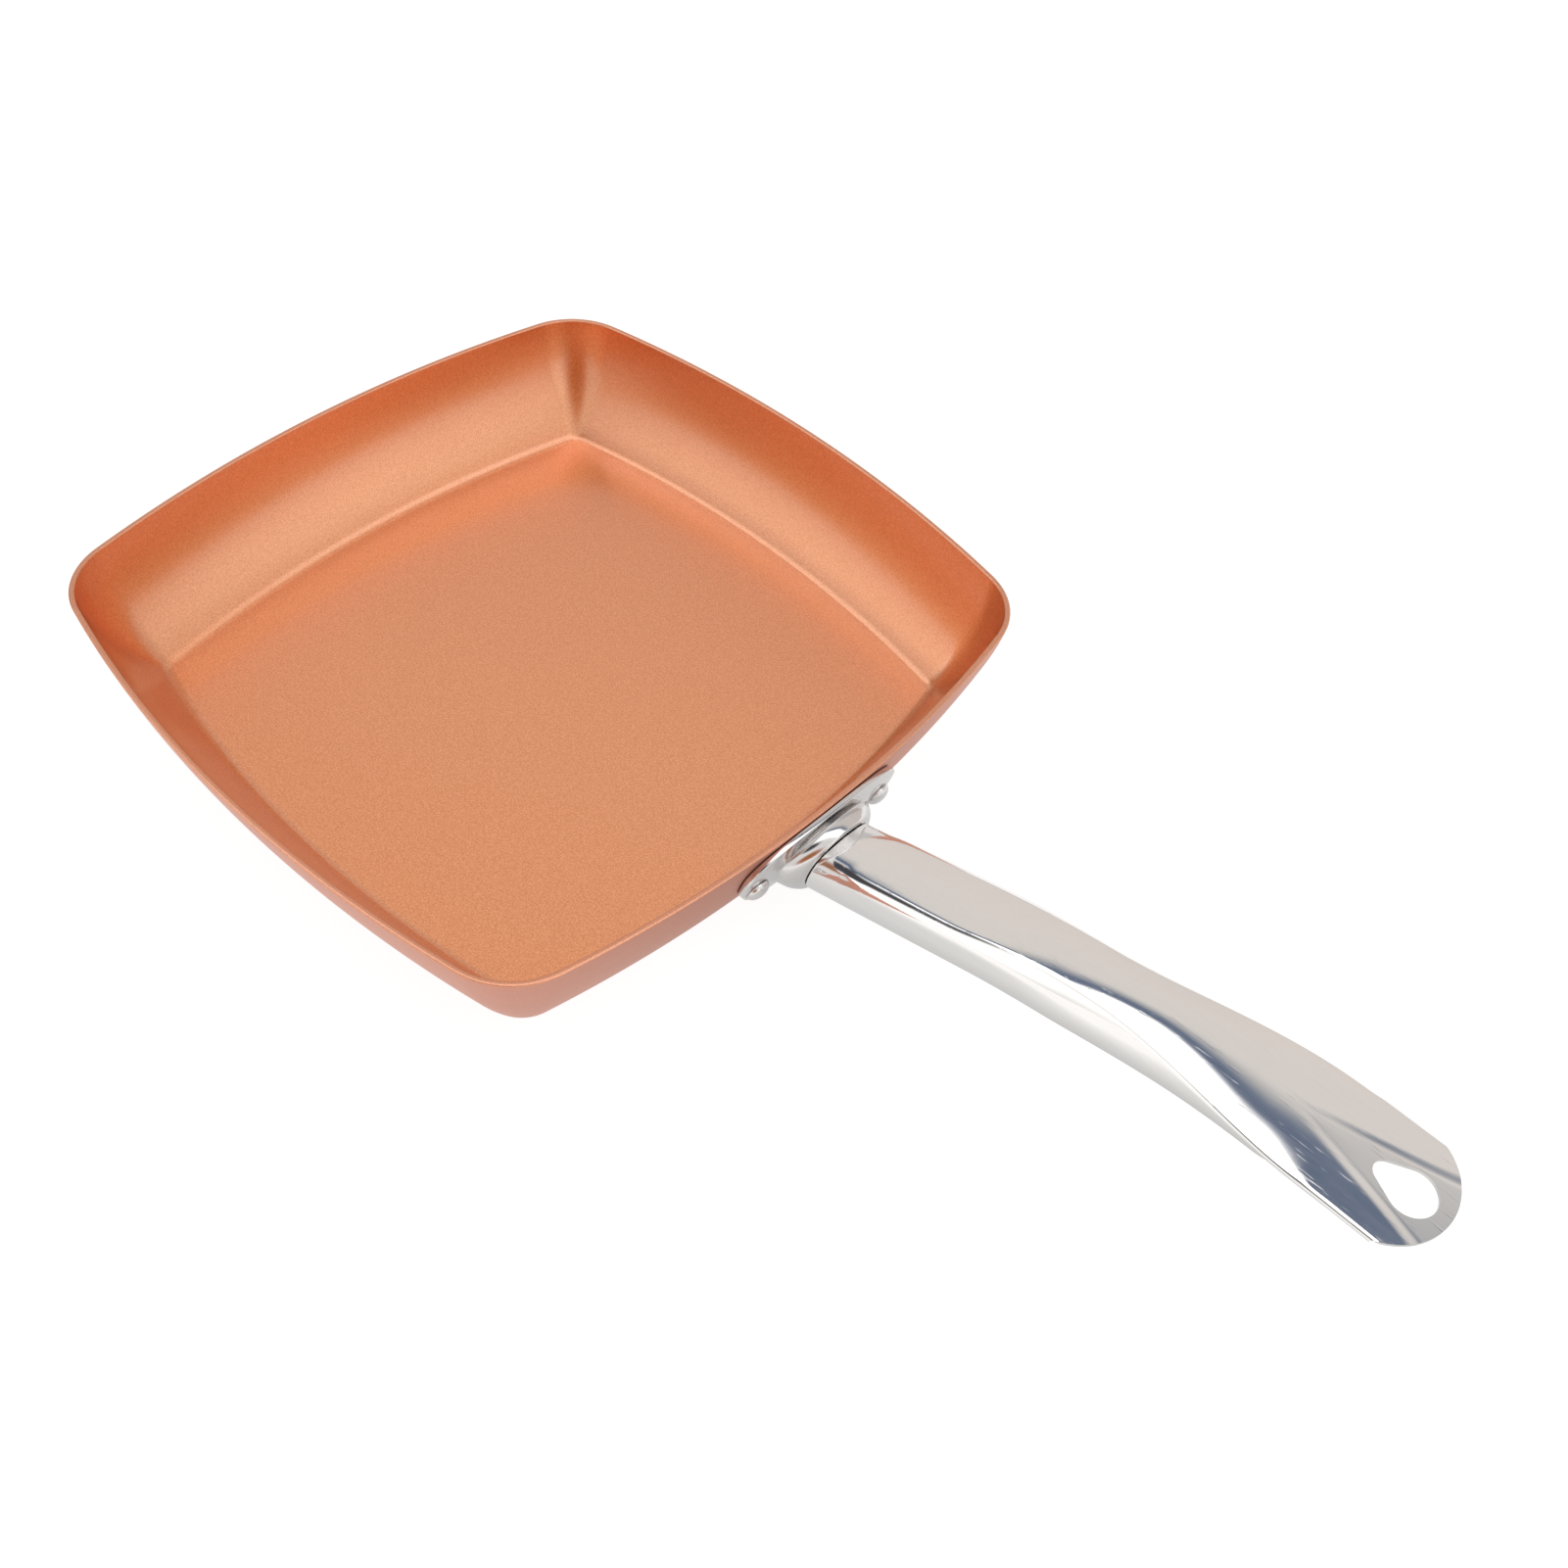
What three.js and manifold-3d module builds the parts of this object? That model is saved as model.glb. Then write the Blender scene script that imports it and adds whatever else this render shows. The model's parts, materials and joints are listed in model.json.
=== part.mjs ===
// Square frying pan with a hollow steel handle. Millimetres, +Z up.
// The origin is under the middle of the base. The handle points along +X, and the pan is the same on both
// sides of the XZ plane.
import * as THREE from 'three';
import Module from 'manifold-3d';
import { mergeVertices } from 'three/addons/utils/BufferGeometryUtils.js';

const wasm = await Module();
wasm.setup();
const degrees = THREE.MathUtils.degToRad;

// Pan body
const rimHalfWidth = 120; // centre to the rim's outer edge, at the middle of a side
const sideBowRadius = 430; // plan radius of each outward-bowed side
const rimCornerRadius = 26;
const sharpestCorner = 1.5; // least plan radius that a corner shrinks to further down the wall
const panDepth = 37.5; // rim down to the cooking floor
const floorThickness = 3;
const rimThickness = 1.8;
const wallLean = degrees(10); // lean of the wall from upright, at the rim
const wallRun = 19.9; // how far the inner wall comes in between the rim and the floor
const heelMetal = 5.8; // metal outside the floor's crease, measured along the base
const creaseRadius = 2.5; // inside, where the wall meets the floor
const heelRadius = 8; // outside, where the wall meets the base

// Disc pressed into the base
const plateRadius = 75;
const plateThickness = 0.6;

// Clearance between pieces that sit in or against each other
const seatGap = 0.3;

// Handle tube
const tubeRadius = 12.2;
const sheetThickness = 1;
const handleTilt = degrees(17.5); // rise of the straight stretch
const straightLength = 53; // from the joint face to the start of the bend
const bendRadius = 311;
const tailDroop = degrees(2); // fall of the tail below level
const handleReach = 190; // rim's outer edge to the handle's tip, along X
const gripEdgeHalfWidth = 8.5; // half distance between the two top edges along the tube
const tailHalfWidth = 17.1; // the same at the tail
const widenStart = 90; // along the handle from the joint face
const widenEnd = 161;
const tailCrown = 1.5; // height of the tail's middle above its edges
const crownSettle = 40; // stretch past the spigot in which the round top settles to that height
const bellyStart = 81; // where the underside starts to get shallower
const bellyEnd = 193;
const tailBelly = 9.2; // depth of the underside below the edges, at the tail
const tailEndRadius = 18.4; // plan radius of the rounded end
const tailLip = 1.6; // depth of the edges that hang below the tail's top
const mouthStart = 153; // where the open underside begins, at the edges
const mouthSlant = degrees(42); // slope of the cut that opens it

// Hang hole, an egg with its narrow end towards the pan
const hangHoleLength = 16.4;
const hangHoleWideRadius = 6.3;
const hangHoleNarrowRadius = 3.2;
const hangHoleMargin = 3.9; // hole to the handle's tip

// Bracket
const jointReach = 4.8; // rim's outer edge to the joint face, on the tube's axis
const jointDrop = 16.8; // rim down to the tube's axis, at the joint face
const jointLean = degrees(11.5); // outward lean of the joint face
const flangeThickness = 1.7;
const flangeTopDrop = 1.5; // rim down to the flange's top edge, at its middle
const flangeHeight = 27.5; // at its middle
const earRadius = 7;
const neckGrowth = 6; // how much wider than the tube the neck is, behind its round shoulder
const neckShoulder = 3; // depth of that shoulder
const neckFlare = 8; // further growth towards each side over neckFlareDepth
const neckFlareDepth = 10;
const spigotLength = 16; // from the joint face into the tube, on its axis
const spigotWall = 1.4;

// Rivets
const rivetSpread = 25.5; // from the middle of the bracket, to each side
const rivetDrop = 15.5; // rim down to the rivets
const shankRadius = 2;
const headRadius = 5.5; // inside the pan
const headHeight = 2.2;
const domeRadius = 4.5; // outside, on the bracket
const domeHeight = 3;

// Fineness of the round stretches
const sideSteps = 10;
const cornerSteps = 6;
const wallSteps = 6;
const edgeSteps = 3;
const crownSteps = 12;
const bellySteps = 22;
const handleStations = 26;
const neckSides = 40;
const neckRings = 8;
const roundSides = 24;

const rimHeight = floorThickness + panDepth;
const creaseInset = rimThickness + wallRun;

// Joins a list of closed rings, each with the same number of points, and closes both ends
function loft(rings) {
  const sides = rings[0].length;
  const positions = rings.flat().flatMap((point) => point.toArray());
  const triangles = [];
  for (let ring = 0; ring + 1 < rings.length; ring += 1) {
    for (let side = 0; side < sides; side += 1) {
      const next = (side + 1) % sides;
      const here = ring * sides;
      const there = here + sides;
      triangles.push(here + side, here + next, there + next);
      triangles.push(here + side, there + next, there + side);
    }
  }
  for (const [ring, flip] of [[0, true], [rings.length - 1, false]]) {
    const middle = new THREE.Vector3();
    rings[ring].forEach((point) => middle.addScaledVector(point, 1 / sides));
    const hub = positions.length / 3;
    positions.push(...middle.toArray());
    for (let side = 0; side < sides; side += 1) {
      const here = ring * sides + side;
      const next = ring * sides + ((side + 1) % sides);
      triangles.push(hub, flip ? next : here, flip ? here : next);
    }
  }
  const geometry = new THREE.BufferGeometry();
  geometry.setAttribute('position', new THREE.Float32BufferAttribute(positions, 3));
  geometry.setIndex(triangles);
  return geometry;
}

// Closed geometry as a solid for joining and cutting
function solid(geometry) {
  const shape = geometry.clone();
  shape.deleteAttribute('normal');
  shape.deleteAttribute('uv');
  const merged = mergeVertices(shape, 1e-4);
  const vertProperties = new Float32Array(merged.attributes.position.array);
  const triVerts = new Uint32Array(merged.index.array);
  return new wasm.Manifold(new wasm.Mesh({ numProp: 3, vertProperties, triVerts }));
}

function geometryOf(cutSolid) {
  const { vertProperties, triVerts } = cutSolid.getMesh();
  const geometry = new THREE.BufferGeometry();
  geometry.setAttribute('position', new THREE.Float32BufferAttribute(vertProperties, 3));
  geometry.setIndex(Array.from(triVerts));
  return geometry;
}

// A flat shape drawn in two of the axes, made into a prism across the third
function prism(shape, from, to, axes) {
  const geometry = new THREE.ExtrudeGeometry(shape, { depth: to - from, bevelEnabled: false });
  geometry.translate(0, 0, from);
  geometry.applyMatrix4(new THREE.Matrix4().makeBasis(...axes));
  return solid(geometry);
}

const alongX = new THREE.Vector3(1, 0, 0);
const alongY = new THREE.Vector3(0, 1, 0);
const alongZ = new THREE.Vector3(0, 0, 1);

// Pan body

// Bowed square at an inset from the rim's outer edge: four side arcs joined by four tangent corner arcs
function planOutline(inset) {
  const sideRadius = sideBowRadius - inset;
  const cornerRadius = Math.max(rimCornerRadius - inset, sharpestCorner);
  const sideCentre = rimHalfWidth - sideBowRadius;
  const reach = sideRadius - cornerRadius;
  const corner = (sideCentre + Math.sqrt(2 * reach ** 2 - sideCentre ** 2)) / 2;
  const turn = Math.atan2(corner, corner - sideCentre);
  const points = [];
  for (let quarter = 0; quarter < 4; quarter += 1) {
    const arcs = [
      [sideCentre, 0, sideRadius, -turn, turn, sideSteps],
      [corner, corner, cornerRadius, turn, Math.PI / 2 - turn, cornerSteps],
    ];
    for (const [x, y, radius, start, end, steps] of arcs) {
      for (let step = 0; step < steps; step += 1) {
        const angle = start + ((end - start) * step) / steps;
        const point = new THREE.Vector2(x + radius * Math.cos(angle), y + radius * Math.sin(angle));
        points.push(point.rotateAround(new THREE.Vector2(), (quarter * Math.PI) / 2));
      }
    }
  }
  return points;
}

// The arc of a wall's profile, which leaves the rim at wallLean and passes through a lower point
function wallArc(rimInset, lowInset, lowHeight) {
  const run = lowInset - rimInset;
  const drop = rimHeight - lowHeight;
  const radius = Math.hypot(run, drop) / (2 * Math.sin(Math.atan2(run, drop) - wallLean));
  const centreInset = rimInset + radius * Math.cos(wallLean);
  const centreHeight = rimHeight + radius * Math.sin(wallLean);
  return { radius, centreInset, centreHeight };
}

const outerArc = wallArc(0, creaseInset - heelMetal, 0);
const innerArc = wallArc(rimThickness, creaseInset, floorThickness);

// Insets and heights from the rim down a wall's arc and round a tangent edge to a flat
function wallProfile(arc, flatHeight, edgeRadius) {
  const drop = arc.centreHeight - flatHeight - edgeRadius;
  const meet = Math.asin(drop / (arc.radius - edgeRadius));
  const edgeInset = arc.centreInset - (arc.radius - edgeRadius) * Math.cos(meet);
  const profile = [];
  for (let step = 0; step < wallSteps; step += 1) {
    const lean = wallLean + ((meet - wallLean) * step) / wallSteps;
    const inset = arc.centreInset - arc.radius * Math.cos(lean);
    profile.push([inset, arc.centreHeight - arc.radius * Math.sin(lean)]);
  }
  for (let step = 0; step <= edgeSteps; step += 1) {
    const lean = meet + ((Math.PI / 2 - meet) * step) / edgeSteps;
    const inset = edgeInset - edgeRadius * Math.cos(lean);
    profile.push([inset, flatHeight + edgeRadius * (1 - Math.sin(lean))]);
  }
  return profile;
}

function panBody() {
  const outside = wallProfile(outerArc, 0, heelRadius).reverse();
  const inside = wallProfile(innerArc, floorThickness, creaseRadius);
  const rings = [...outside, ...inside].map(([inset, height]) =>
    planOutline(inset).map((point) => new THREE.Vector3(point.x, point.y, height)));
  const recess = basePlate(plateRadius + seatGap, 2 * plateThickness);
  return solid(loft(rings)).subtract(solid(recess)).subtract(rivetHoles());
}

// Disc whose upper face is at plateThickness, however thick it is
function basePlate(radius, thickness) {
  const disc = new THREE.CylinderGeometry(radius, radius, thickness, 3 * roundSides);
  disc.rotateX(Math.PI / 2);
  disc.translate(0, 0, plateThickness - thickness / 2);
  return disc;
}

// Where the handle-side wall stands: X at a place across and a height, for either face of the wall
function wallX(arc, y, height, standoff) {
  const inset = arc.centreInset - Math.sqrt(arc.radius ** 2 - (arc.centreHeight - height) ** 2);
  const radius = sideBowRadius - inset + standoff;
  return rimHalfWidth - sideBowRadius + Math.sqrt(radius ** 2 - y ** 2);
}

// Rivets

// Frame of a rivet: on the wall's outer face, with Y pointing straight out of the wall. Its head is seated
// where its flat underside clears the hollow inner face all round.
function rivetFrame(side) {
  const y = side * rivetSpread;
  const height = rimHeight - rivetDrop;
  const lean = Math.asin((outerArc.centreHeight - height) / outerArc.radius);
  const x = wallX(outerArc, y, height, 0);
  const turn = Math.atan2(y, x - rimHalfWidth + sideBowRadius);
  const level = new THREE.Vector3(Math.cos(turn), Math.sin(turn), 0);
  const out = level.multiplyScalar(Math.cos(lean)).addScaledVector(alongZ, -Math.sin(lean));
  const across = new THREE.Vector3(-Math.sin(turn), Math.cos(turn), 0);
  const matrix = new THREE.Matrix4().makeBasis(across, out, new THREE.Vector3().crossVectors(across, out));
  matrix.setPosition(x, y, height);
  const toRivet = matrix.clone().invert();
  const wallDepths = [[1, 0], [-1, 0], [0, 1], [0, -1]].map(([right, up]) => {
    const edgeY = y + right * headRadius;
    const edgeHeight = height + up * headRadius;
    const edge = new THREE.Vector3(wallX(innerArc, edgeY, edgeHeight, 0), edgeY, edgeHeight);
    return -edge.applyMatrix4(toRivet).y;
  });
  return { matrix, headSeat: Math.max(...wallDepths) + seatGap };
}

const domeSeat = seatGap + flangeThickness + seatGap; // the flange with a gap on both of its sides

// Points of a low dome from its rim to its top, standing off a height in a direction
function domeProfile(radius, rise, base, direction) {
  const points = [];
  for (let step = 0; step <= edgeSteps + 1; step += 1) {
    const angle = ((Math.PI / 2) * step) / (edgeSteps + 1);
    const reach = step === edgeSteps + 1 ? 0 : radius * Math.cos(angle);
    points.push(new THREE.Vector2(reach, base + direction * rise * Math.sin(angle)));
  }
  return points;
}

function rivet(side) {
  const { matrix, headSeat } = rivetFrame(side);
  const head = domeProfile(headRadius, headHeight, -headSeat, -1).reverse();
  const dome = domeProfile(domeRadius, domeHeight, domeSeat, 1);
  const shank = [new THREE.Vector2(shankRadius, -headSeat), new THREE.Vector2(shankRadius, domeSeat)];
  return new THREE.LatheGeometry([...head, ...shank, ...dome], roundSides).applyMatrix4(matrix);
}

// Both rivets' holes, long enough to pass through the wall and the bracket
function rivetHoles() {
  const radius = shankRadius + seatGap;
  const holes = [1, -1].map((side) => {
    const { matrix, headSeat } = rivetFrame(side);
    const hole = new THREE.CylinderGeometry(radius, radius, 3 * (headSeat + domeSeat), roundSides);
    return solid(hole.applyMatrix4(matrix));
  });
  return holes[0].add(holes[1]);
}

// Bracket

const joint = new THREE.Vector3(rimHalfWidth + jointReach, 0, rimHeight - jointDrop);
const jointOut = new THREE.Vector3(Math.cos(jointLean), 0, -Math.sin(jointLean));
const jointUp = new THREE.Vector3(Math.sin(jointLean), 0, Math.cos(jointLean));
const tubeAxis = new THREE.Vector3(Math.cos(handleTilt), 0, Math.sin(handleTilt));
const tubeUp = new THREE.Vector3(-Math.sin(handleTilt), 0, Math.cos(handleTilt));

// Patch of the space beside the handle-side wall, from one standoff to another
function wallPatch(fromStandoff, toStandoff) {
  const halfLength = rivetSpread + 2 * earRadius;
  const top = rimHeight;
  const bottom = rimHeight - flangeTopDrop - flangeHeight - earRadius;
  const rings = [];
  for (let row = 0; row <= 2 * sideSteps; row += 1) {
    const y = halfLength * (1 - row / sideSteps);
    const ring = [];
    for (const [standoff, start, end] of [[fromStandoff, top, bottom], [toStandoff, bottom, top]]) {
      for (let step = 0; step <= wallSteps; step += 1) {
        const height = start + ((end - start) * step) / wallSteps;
        ring.push(new THREE.Vector3(wallX(outerArc, y, height, standoff), y, height));
      }
    }
    rings.push(ring);
  }
  return solid(loft(rings));
}

// Outline of the flange in Y and Z: an ear round each rivet, joined by bowed top and bottom edges
function flangeOutline() {
  const ears = rimHeight - rivetDrop;
  const top = rimHeight - flangeTopDrop;
  const bottom = top - flangeHeight;
  const shape = new THREE.Shape();
  shape.moveTo(-rivetSpread, ears + earRadius);
  shape.quadraticCurveTo(0, 2 * top - ears - earRadius, rivetSpread, ears + earRadius);
  shape.absarc(rivetSpread, ears, earRadius, Math.PI / 2, -Math.PI / 2, true);
  shape.quadraticCurveTo(0, 2 * bottom - ears + earRadius, -rivetSpread, ears - earRadius);
  shape.absarc(-rivetSpread, ears, earRadius, -Math.PI / 2, -1.5 * Math.PI, true);
  return shape;
}

// Neck behind the joint face, as oval rings that grow over a round shoulder and then flare to the sides
function neck(shrink) {
  const depth = neckFlareDepth + neckShoulder;
  const rings = [];
  for (let ring = 0; ring <= neckRings; ring += 1) {
    const back = depth * (ring / neckRings) ** 2;
    const shoulder = Math.sqrt(1 - Math.max(1 - back / neckShoulder, 0) ** 2);
    const flare = neckFlare * (Math.max(back - neckShoulder, 0) / neckFlareDepth) ** 2;
    const halfWidth = tubeRadius + neckGrowth * shoulder + flare - shrink;
    const halfHeight = tubeRadius / Math.cos(handleTilt + jointLean) - shrink;
    const points = [];
    for (let side = 0; side < neckSides; side += 1) {
      const angle = (2 * Math.PI * side) / neckSides;
      const point = joint.clone().addScaledVector(jointOut, -back - shrink);
      point.addScaledVector(alongY, halfWidth * Math.cos(angle));
      points.push(point.addScaledVector(jointUp, halfHeight * Math.sin(angle)));
    }
    rings.push(points);
  }
  return solid(loft(rings.reverse()));
}

// Round bar on the tube's axis, between two places along it counted from the joint face
function axisBar(radius, from, to) {
  const bar = new THREE.CylinderGeometry(radius, radius, to - from, neckSides);
  bar.translate(0, (from + to) / 2, 0);
  bar.applyMatrix4(new THREE.Matrix4().makeBasis(tubeUp, tubeAxis, alongY).setPosition(joint));
  return solid(bar);
}

// Everything behind a plane that lies parallel to the joint face and a distance in front of it
function behindJoint(ahead) {
  const size = 2 * rimHalfWidth;
  const block = new THREE.BoxGeometry(size, size, size);
  block.translate(ahead - size / 2, 0, 0);
  block.applyMatrix4(new THREE.Matrix4().makeBasis(jointOut, alongY, jointUp).setPosition(joint));
  return solid(block);
}

function handleBracket() {
  const spigotRadius = tubeRadius - sheetThickness - seatGap;
  const outline = prism(flangeOutline(), 0, 2 * rimHalfWidth, [alongY, alongZ, alongX]);
  const flange = wallPatch(seatGap, seatGap + flangeThickness).intersect(outline);
  const boss = neck(0).subtract(wallPatch(-rimHalfWidth / 2, seatGap + flangeThickness / 2));
  const bar = axisBar(spigotRadius, -2 * spigotRadius, spigotLength);
  const spigot = bar.subtract(behindJoint(-flangeThickness / 2));
  const bore = axisBar(spigotRadius - spigotWall, -spigotRadius, 2 * spigotLength);
  const hollow = neck(flangeThickness).subtract(wallPatch(-rimHalfWidth / 2, -flangeThickness));
  return flange.add(boss).add(spigot).subtract(hollow).subtract(bore).subtract(rivetHoles());
}

// Handle

// Smooth step from 0 to 1 between two places
const ease = (place, start, end) => THREE.MathUtils.smoothstep(place, start, end);

// The line midway between the handle's two top edges: straight, then a bend, then the straight tail
const edgeRise = Math.sqrt(tubeRadius ** 2 - gripEdgeHalfWidth ** 2);
const bendLength = bendRadius * (handleTilt + tailDroop);

function edgeLine(place) {
  const bent = THREE.MathUtils.clamp(place - straightLength, 0, bendLength);
  const slope = handleTilt - bent / bendRadius;
  const point = joint.clone().addScaledVector(tubeUp, edgeRise);
  point.addScaledVector(tubeAxis, Math.min(place, straightLength));
  point.x += bendRadius * (Math.sin(handleTilt) - Math.sin(slope));
  point.z += bendRadius * (Math.cos(slope) - Math.cos(handleTilt));
  const ahead = new THREE.Vector3(Math.cos(slope), 0, Math.sin(slope));
  const up = new THREE.Vector3(-Math.sin(slope), 0, Math.cos(slope));
  point.addScaledVector(ahead, Math.max(place - straightLength - bendLength, 0));
  return { point, up };
}

// Width, crown and belly of the handle's section at a place along it. At the bracket they make a circle.
function sectionSizes(place) {
  const width = ease(place, widenStart, widenEnd);
  const crown = ease(place, spigotLength, spigotLength + crownSettle);
  const belly = ease(place, bellyStart, bellyEnd);
  return {
    halfWidth: THREE.MathUtils.lerp(gripEdgeHalfWidth, tailHalfWidth, width),
    crown: THREE.MathUtils.lerp(tubeRadius - edgeRise, tailCrown, crown),
    belly: THREE.MathUtils.lerp(tubeRadius + edgeRise, tailBelly, belly),
  };
}

// Points of an arc from one edge towards the other, whose middle stands a height above them
function arcBetweenEdges(halfWidth, height, steps) {
  const radius = (halfWidth ** 2 + height ** 2) / (2 * height);
  const half = Math.atan2(halfWidth, radius - height);
  const points = [];
  for (let step = 0; step < steps; step += 1) {
    const angle = half * (1 - (2 * step) / steps);
    points.push(new THREE.Vector2(radius * Math.sin(angle), radius * Math.cos(angle) - radius + height));
  }
  return points;
}

// Section of the handle: an arc over the top and an arc under the belly. The shrunken section lies inside it
// by a steady distance, and its edges are where the two shrunken arcs cross.
function handleSection(place, shrink) {
  const { halfWidth, crown, belly } = sectionSizes(place);
  const topRadius = (halfWidth ** 2 + crown ** 2) / (2 * crown);
  const lowRadius = (halfWidth ** 2 + belly ** 2) / (2 * belly);
  const topCentre = crown - topRadius;
  const lowCentre = lowRadius - belly;
  const lift = (shrink * (topCentre + lowCentre)) / (topRadius + lowRadius);
  const innerHalf = Math.sqrt((topRadius - shrink) ** 2 - (lift - topCentre) ** 2);
  const top = arcBetweenEdges(innerHalf, crown - shrink - lift, crownSteps);
  const low = arcBetweenEdges(innerHalf, belly - shrink + lift, bellySteps);
  const { point, up } = edgeLine(place);
  const offsets = [...top, ...low.map((offset) => offset.negate())];
  return offsets.map((offset) =>
    point.clone().addScaledVector(alongY, offset.x).addScaledVector(up, offset.y + lift));
}

function handleLoft(shrink, from, to) {
  const rings = [];
  for (let station = 0; station <= handleStations; station += 1) {
    rings.push(handleSection(from + ((to - from) * station) / handleStations, shrink));
  }
  return solid(loft(rings));
}

const tipX = rimHalfWidth + handleReach;
const handleLength = straightLength + bendLength + handleReach; // past the tip, before the ends are trimmed

// Plan of the handle, straight from behind the bracket to its round end
function handlePlan() {
  const shape = new THREE.Shape();
  shape.absarc(tipX - tailEndRadius, 0, tailEndRadius, -Math.PI / 2, Math.PI / 2, false);
  shape.lineTo(0, tailEndRadius);
  shape.lineTo(0, -tailEndRadius);
  return shape;
}

// Side view of what is cut away to open the underside of the tail
function tailMouth() {
  const edge = [];
  for (let place = mouthStart; place < handleLength; place += bendRadius / handleStations) {
    const { point, up } = edgeLine(place);
    edge.push(point.addScaledVector(up, -tailLip));
  }
  const floor = edge[0].z - 2 * tubeRadius - tailLip;
  const back = edge[0].x - (edge[0].z - floor) / Math.tan(mouthSlant);
  const corners = [...edge.map((point) => [point.x, point.z]), [edge.at(-1).x, floor], [back, floor]];
  return new THREE.Shape(corners.map(([x, z]) => new THREE.Vector2(x, z)));
}

// Egg-shaped hole: two end circles and the lines that touch both
function hangHole() {
  const wideX = tipX - hangHoleMargin - hangHoleWideRadius;
  const narrowX = tipX - hangHoleMargin - hangHoleLength + hangHoleNarrowRadius;
  const turn = Math.acos((hangHoleWideRadius - hangHoleNarrowRadius) / (wideX - narrowX));
  const shape = new THREE.Shape();
  shape.absarc(wideX, 0, hangHoleWideRadius, turn - Math.PI, Math.PI - turn, false);
  shape.absarc(narrowX, 0, hangHoleNarrowRadius, Math.PI - turn, Math.PI + turn, false);
  return shape;
}

function handleTube() {
  const start = -2 * tubeRadius;
  const outside = handleLoft(0, start, handleLength);
  const inside = handleLoft(sheetThickness, start - tubeRadius, handleLength + tubeRadius);
  const upright = [alongX, alongY, alongZ];
  const sideways = [alongX, alongZ, alongY.clone().negate()];
  const plan = prism(handlePlan(), 0, 2 * rimHalfWidth, upright);
  const hole = prism(hangHole(), 0, 2 * rimHalfWidth, upright);
  const mouth = prism(tailMouth(), -rimHalfWidth, rimHalfWidth, sideways);
  const shell = outside.subtract(inside).intersect(plan).subtract(behindJoint(seatGap));
  return shell.subtract(mouth).subtract(hole);
}

// Materials and assembly

const coating = new THREE.MeshStandardMaterial({ color: 0xcd8358, roughness: 0.45, metalness: 0.6 });
const polishedSteel = new THREE.MeshStandardMaterial({ color: 0xd4cfca, roughness: 0.12, metalness: 1 });
const brushedSteel = new THREE.MeshStandardMaterial({ color: 0xb9b8b6, roughness: 0.4, metalness: 1 });

const group = new THREE.Group();

function addPiece(name, geometry, material) {
  const piece = new THREE.Mesh(geometry, material);
  piece.name = name;
  group.add(piece);
}

addPiece('pan_body', geometryOf(panBody()), coating);
addPiece('base_plate', basePlate(plateRadius, plateThickness), brushedSteel);
addPiece('handle_bracket', geometryOf(handleBracket()), polishedSteel);
addPiece('handle_tube', geometryOf(handleTube()), polishedSteel);
addPiece('rivet_left', rivet(1), polishedSteel);
addPiece('rivet_right', rivet(-1), polishedSteel);

export default group;
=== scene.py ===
# %% [markdown]
# # A square frying pan
# The pan is a pressed aluminium body with a copper-coloured coating, a steel plate set into its base, and a
# polished steel handle that is held on a riveted bracket. The solid model of it is loaded first as a fixed
# frame in metres: it stands on z = 0, its middle is on the z axis, and the handle points along +X.
# Every piece made below takes the place of one of the frame's nodes.

# %% Load the frame
import json

import bmesh
import bpy
import numpy as np
from mathutils import Matrix, Vector

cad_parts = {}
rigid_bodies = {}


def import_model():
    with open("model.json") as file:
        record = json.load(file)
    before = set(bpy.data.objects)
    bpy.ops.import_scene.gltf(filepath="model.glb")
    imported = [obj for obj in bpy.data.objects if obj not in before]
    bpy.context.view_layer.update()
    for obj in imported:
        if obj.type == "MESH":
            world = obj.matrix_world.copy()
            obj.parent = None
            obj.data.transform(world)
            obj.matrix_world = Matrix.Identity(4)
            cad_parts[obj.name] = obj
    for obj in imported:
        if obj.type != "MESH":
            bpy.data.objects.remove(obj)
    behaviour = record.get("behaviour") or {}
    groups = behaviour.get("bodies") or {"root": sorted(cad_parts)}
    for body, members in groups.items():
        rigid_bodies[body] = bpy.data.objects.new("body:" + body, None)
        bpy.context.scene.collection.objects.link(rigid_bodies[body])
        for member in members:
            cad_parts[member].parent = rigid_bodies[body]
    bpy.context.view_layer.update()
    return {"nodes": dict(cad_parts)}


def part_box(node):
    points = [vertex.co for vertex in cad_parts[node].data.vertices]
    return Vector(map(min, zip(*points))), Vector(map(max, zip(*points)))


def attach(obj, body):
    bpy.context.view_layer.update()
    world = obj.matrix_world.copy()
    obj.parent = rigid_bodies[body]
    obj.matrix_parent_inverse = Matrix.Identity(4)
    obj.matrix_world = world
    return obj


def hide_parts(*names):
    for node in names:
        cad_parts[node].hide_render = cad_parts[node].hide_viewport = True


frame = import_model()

MM = 0.001
print("nodes:", sorted(frame["nodes"]))

# %% [markdown]
# ## Making a mesh from a grid
# Each piece is a surface: a function of two parameters, worked out on a grid of rows and columns. The grid's
# neighbours become quads. Where a row shrinks to a point, or the last column meets the first, the points
# coincide and are merged, so the seams and poles are closed.

# %% Grid and mesh helpers
MERGE_DISTANCE = 0.0005 * MM


def grid_quads(rows, columns, closed):
    """Quads between the neighbours of a grid; closed also joins the last column to the first."""
    index = np.arange(rows * columns).reshape(rows, columns)
    if closed:
        index = np.hstack([index, index[:, :1]])
    corners = [index[:-1, :-1], index[:-1, 1:], index[1:, 1:], index[1:, :-1]]
    return np.stack(corners, axis=-1).reshape(-1, 4)


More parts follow.
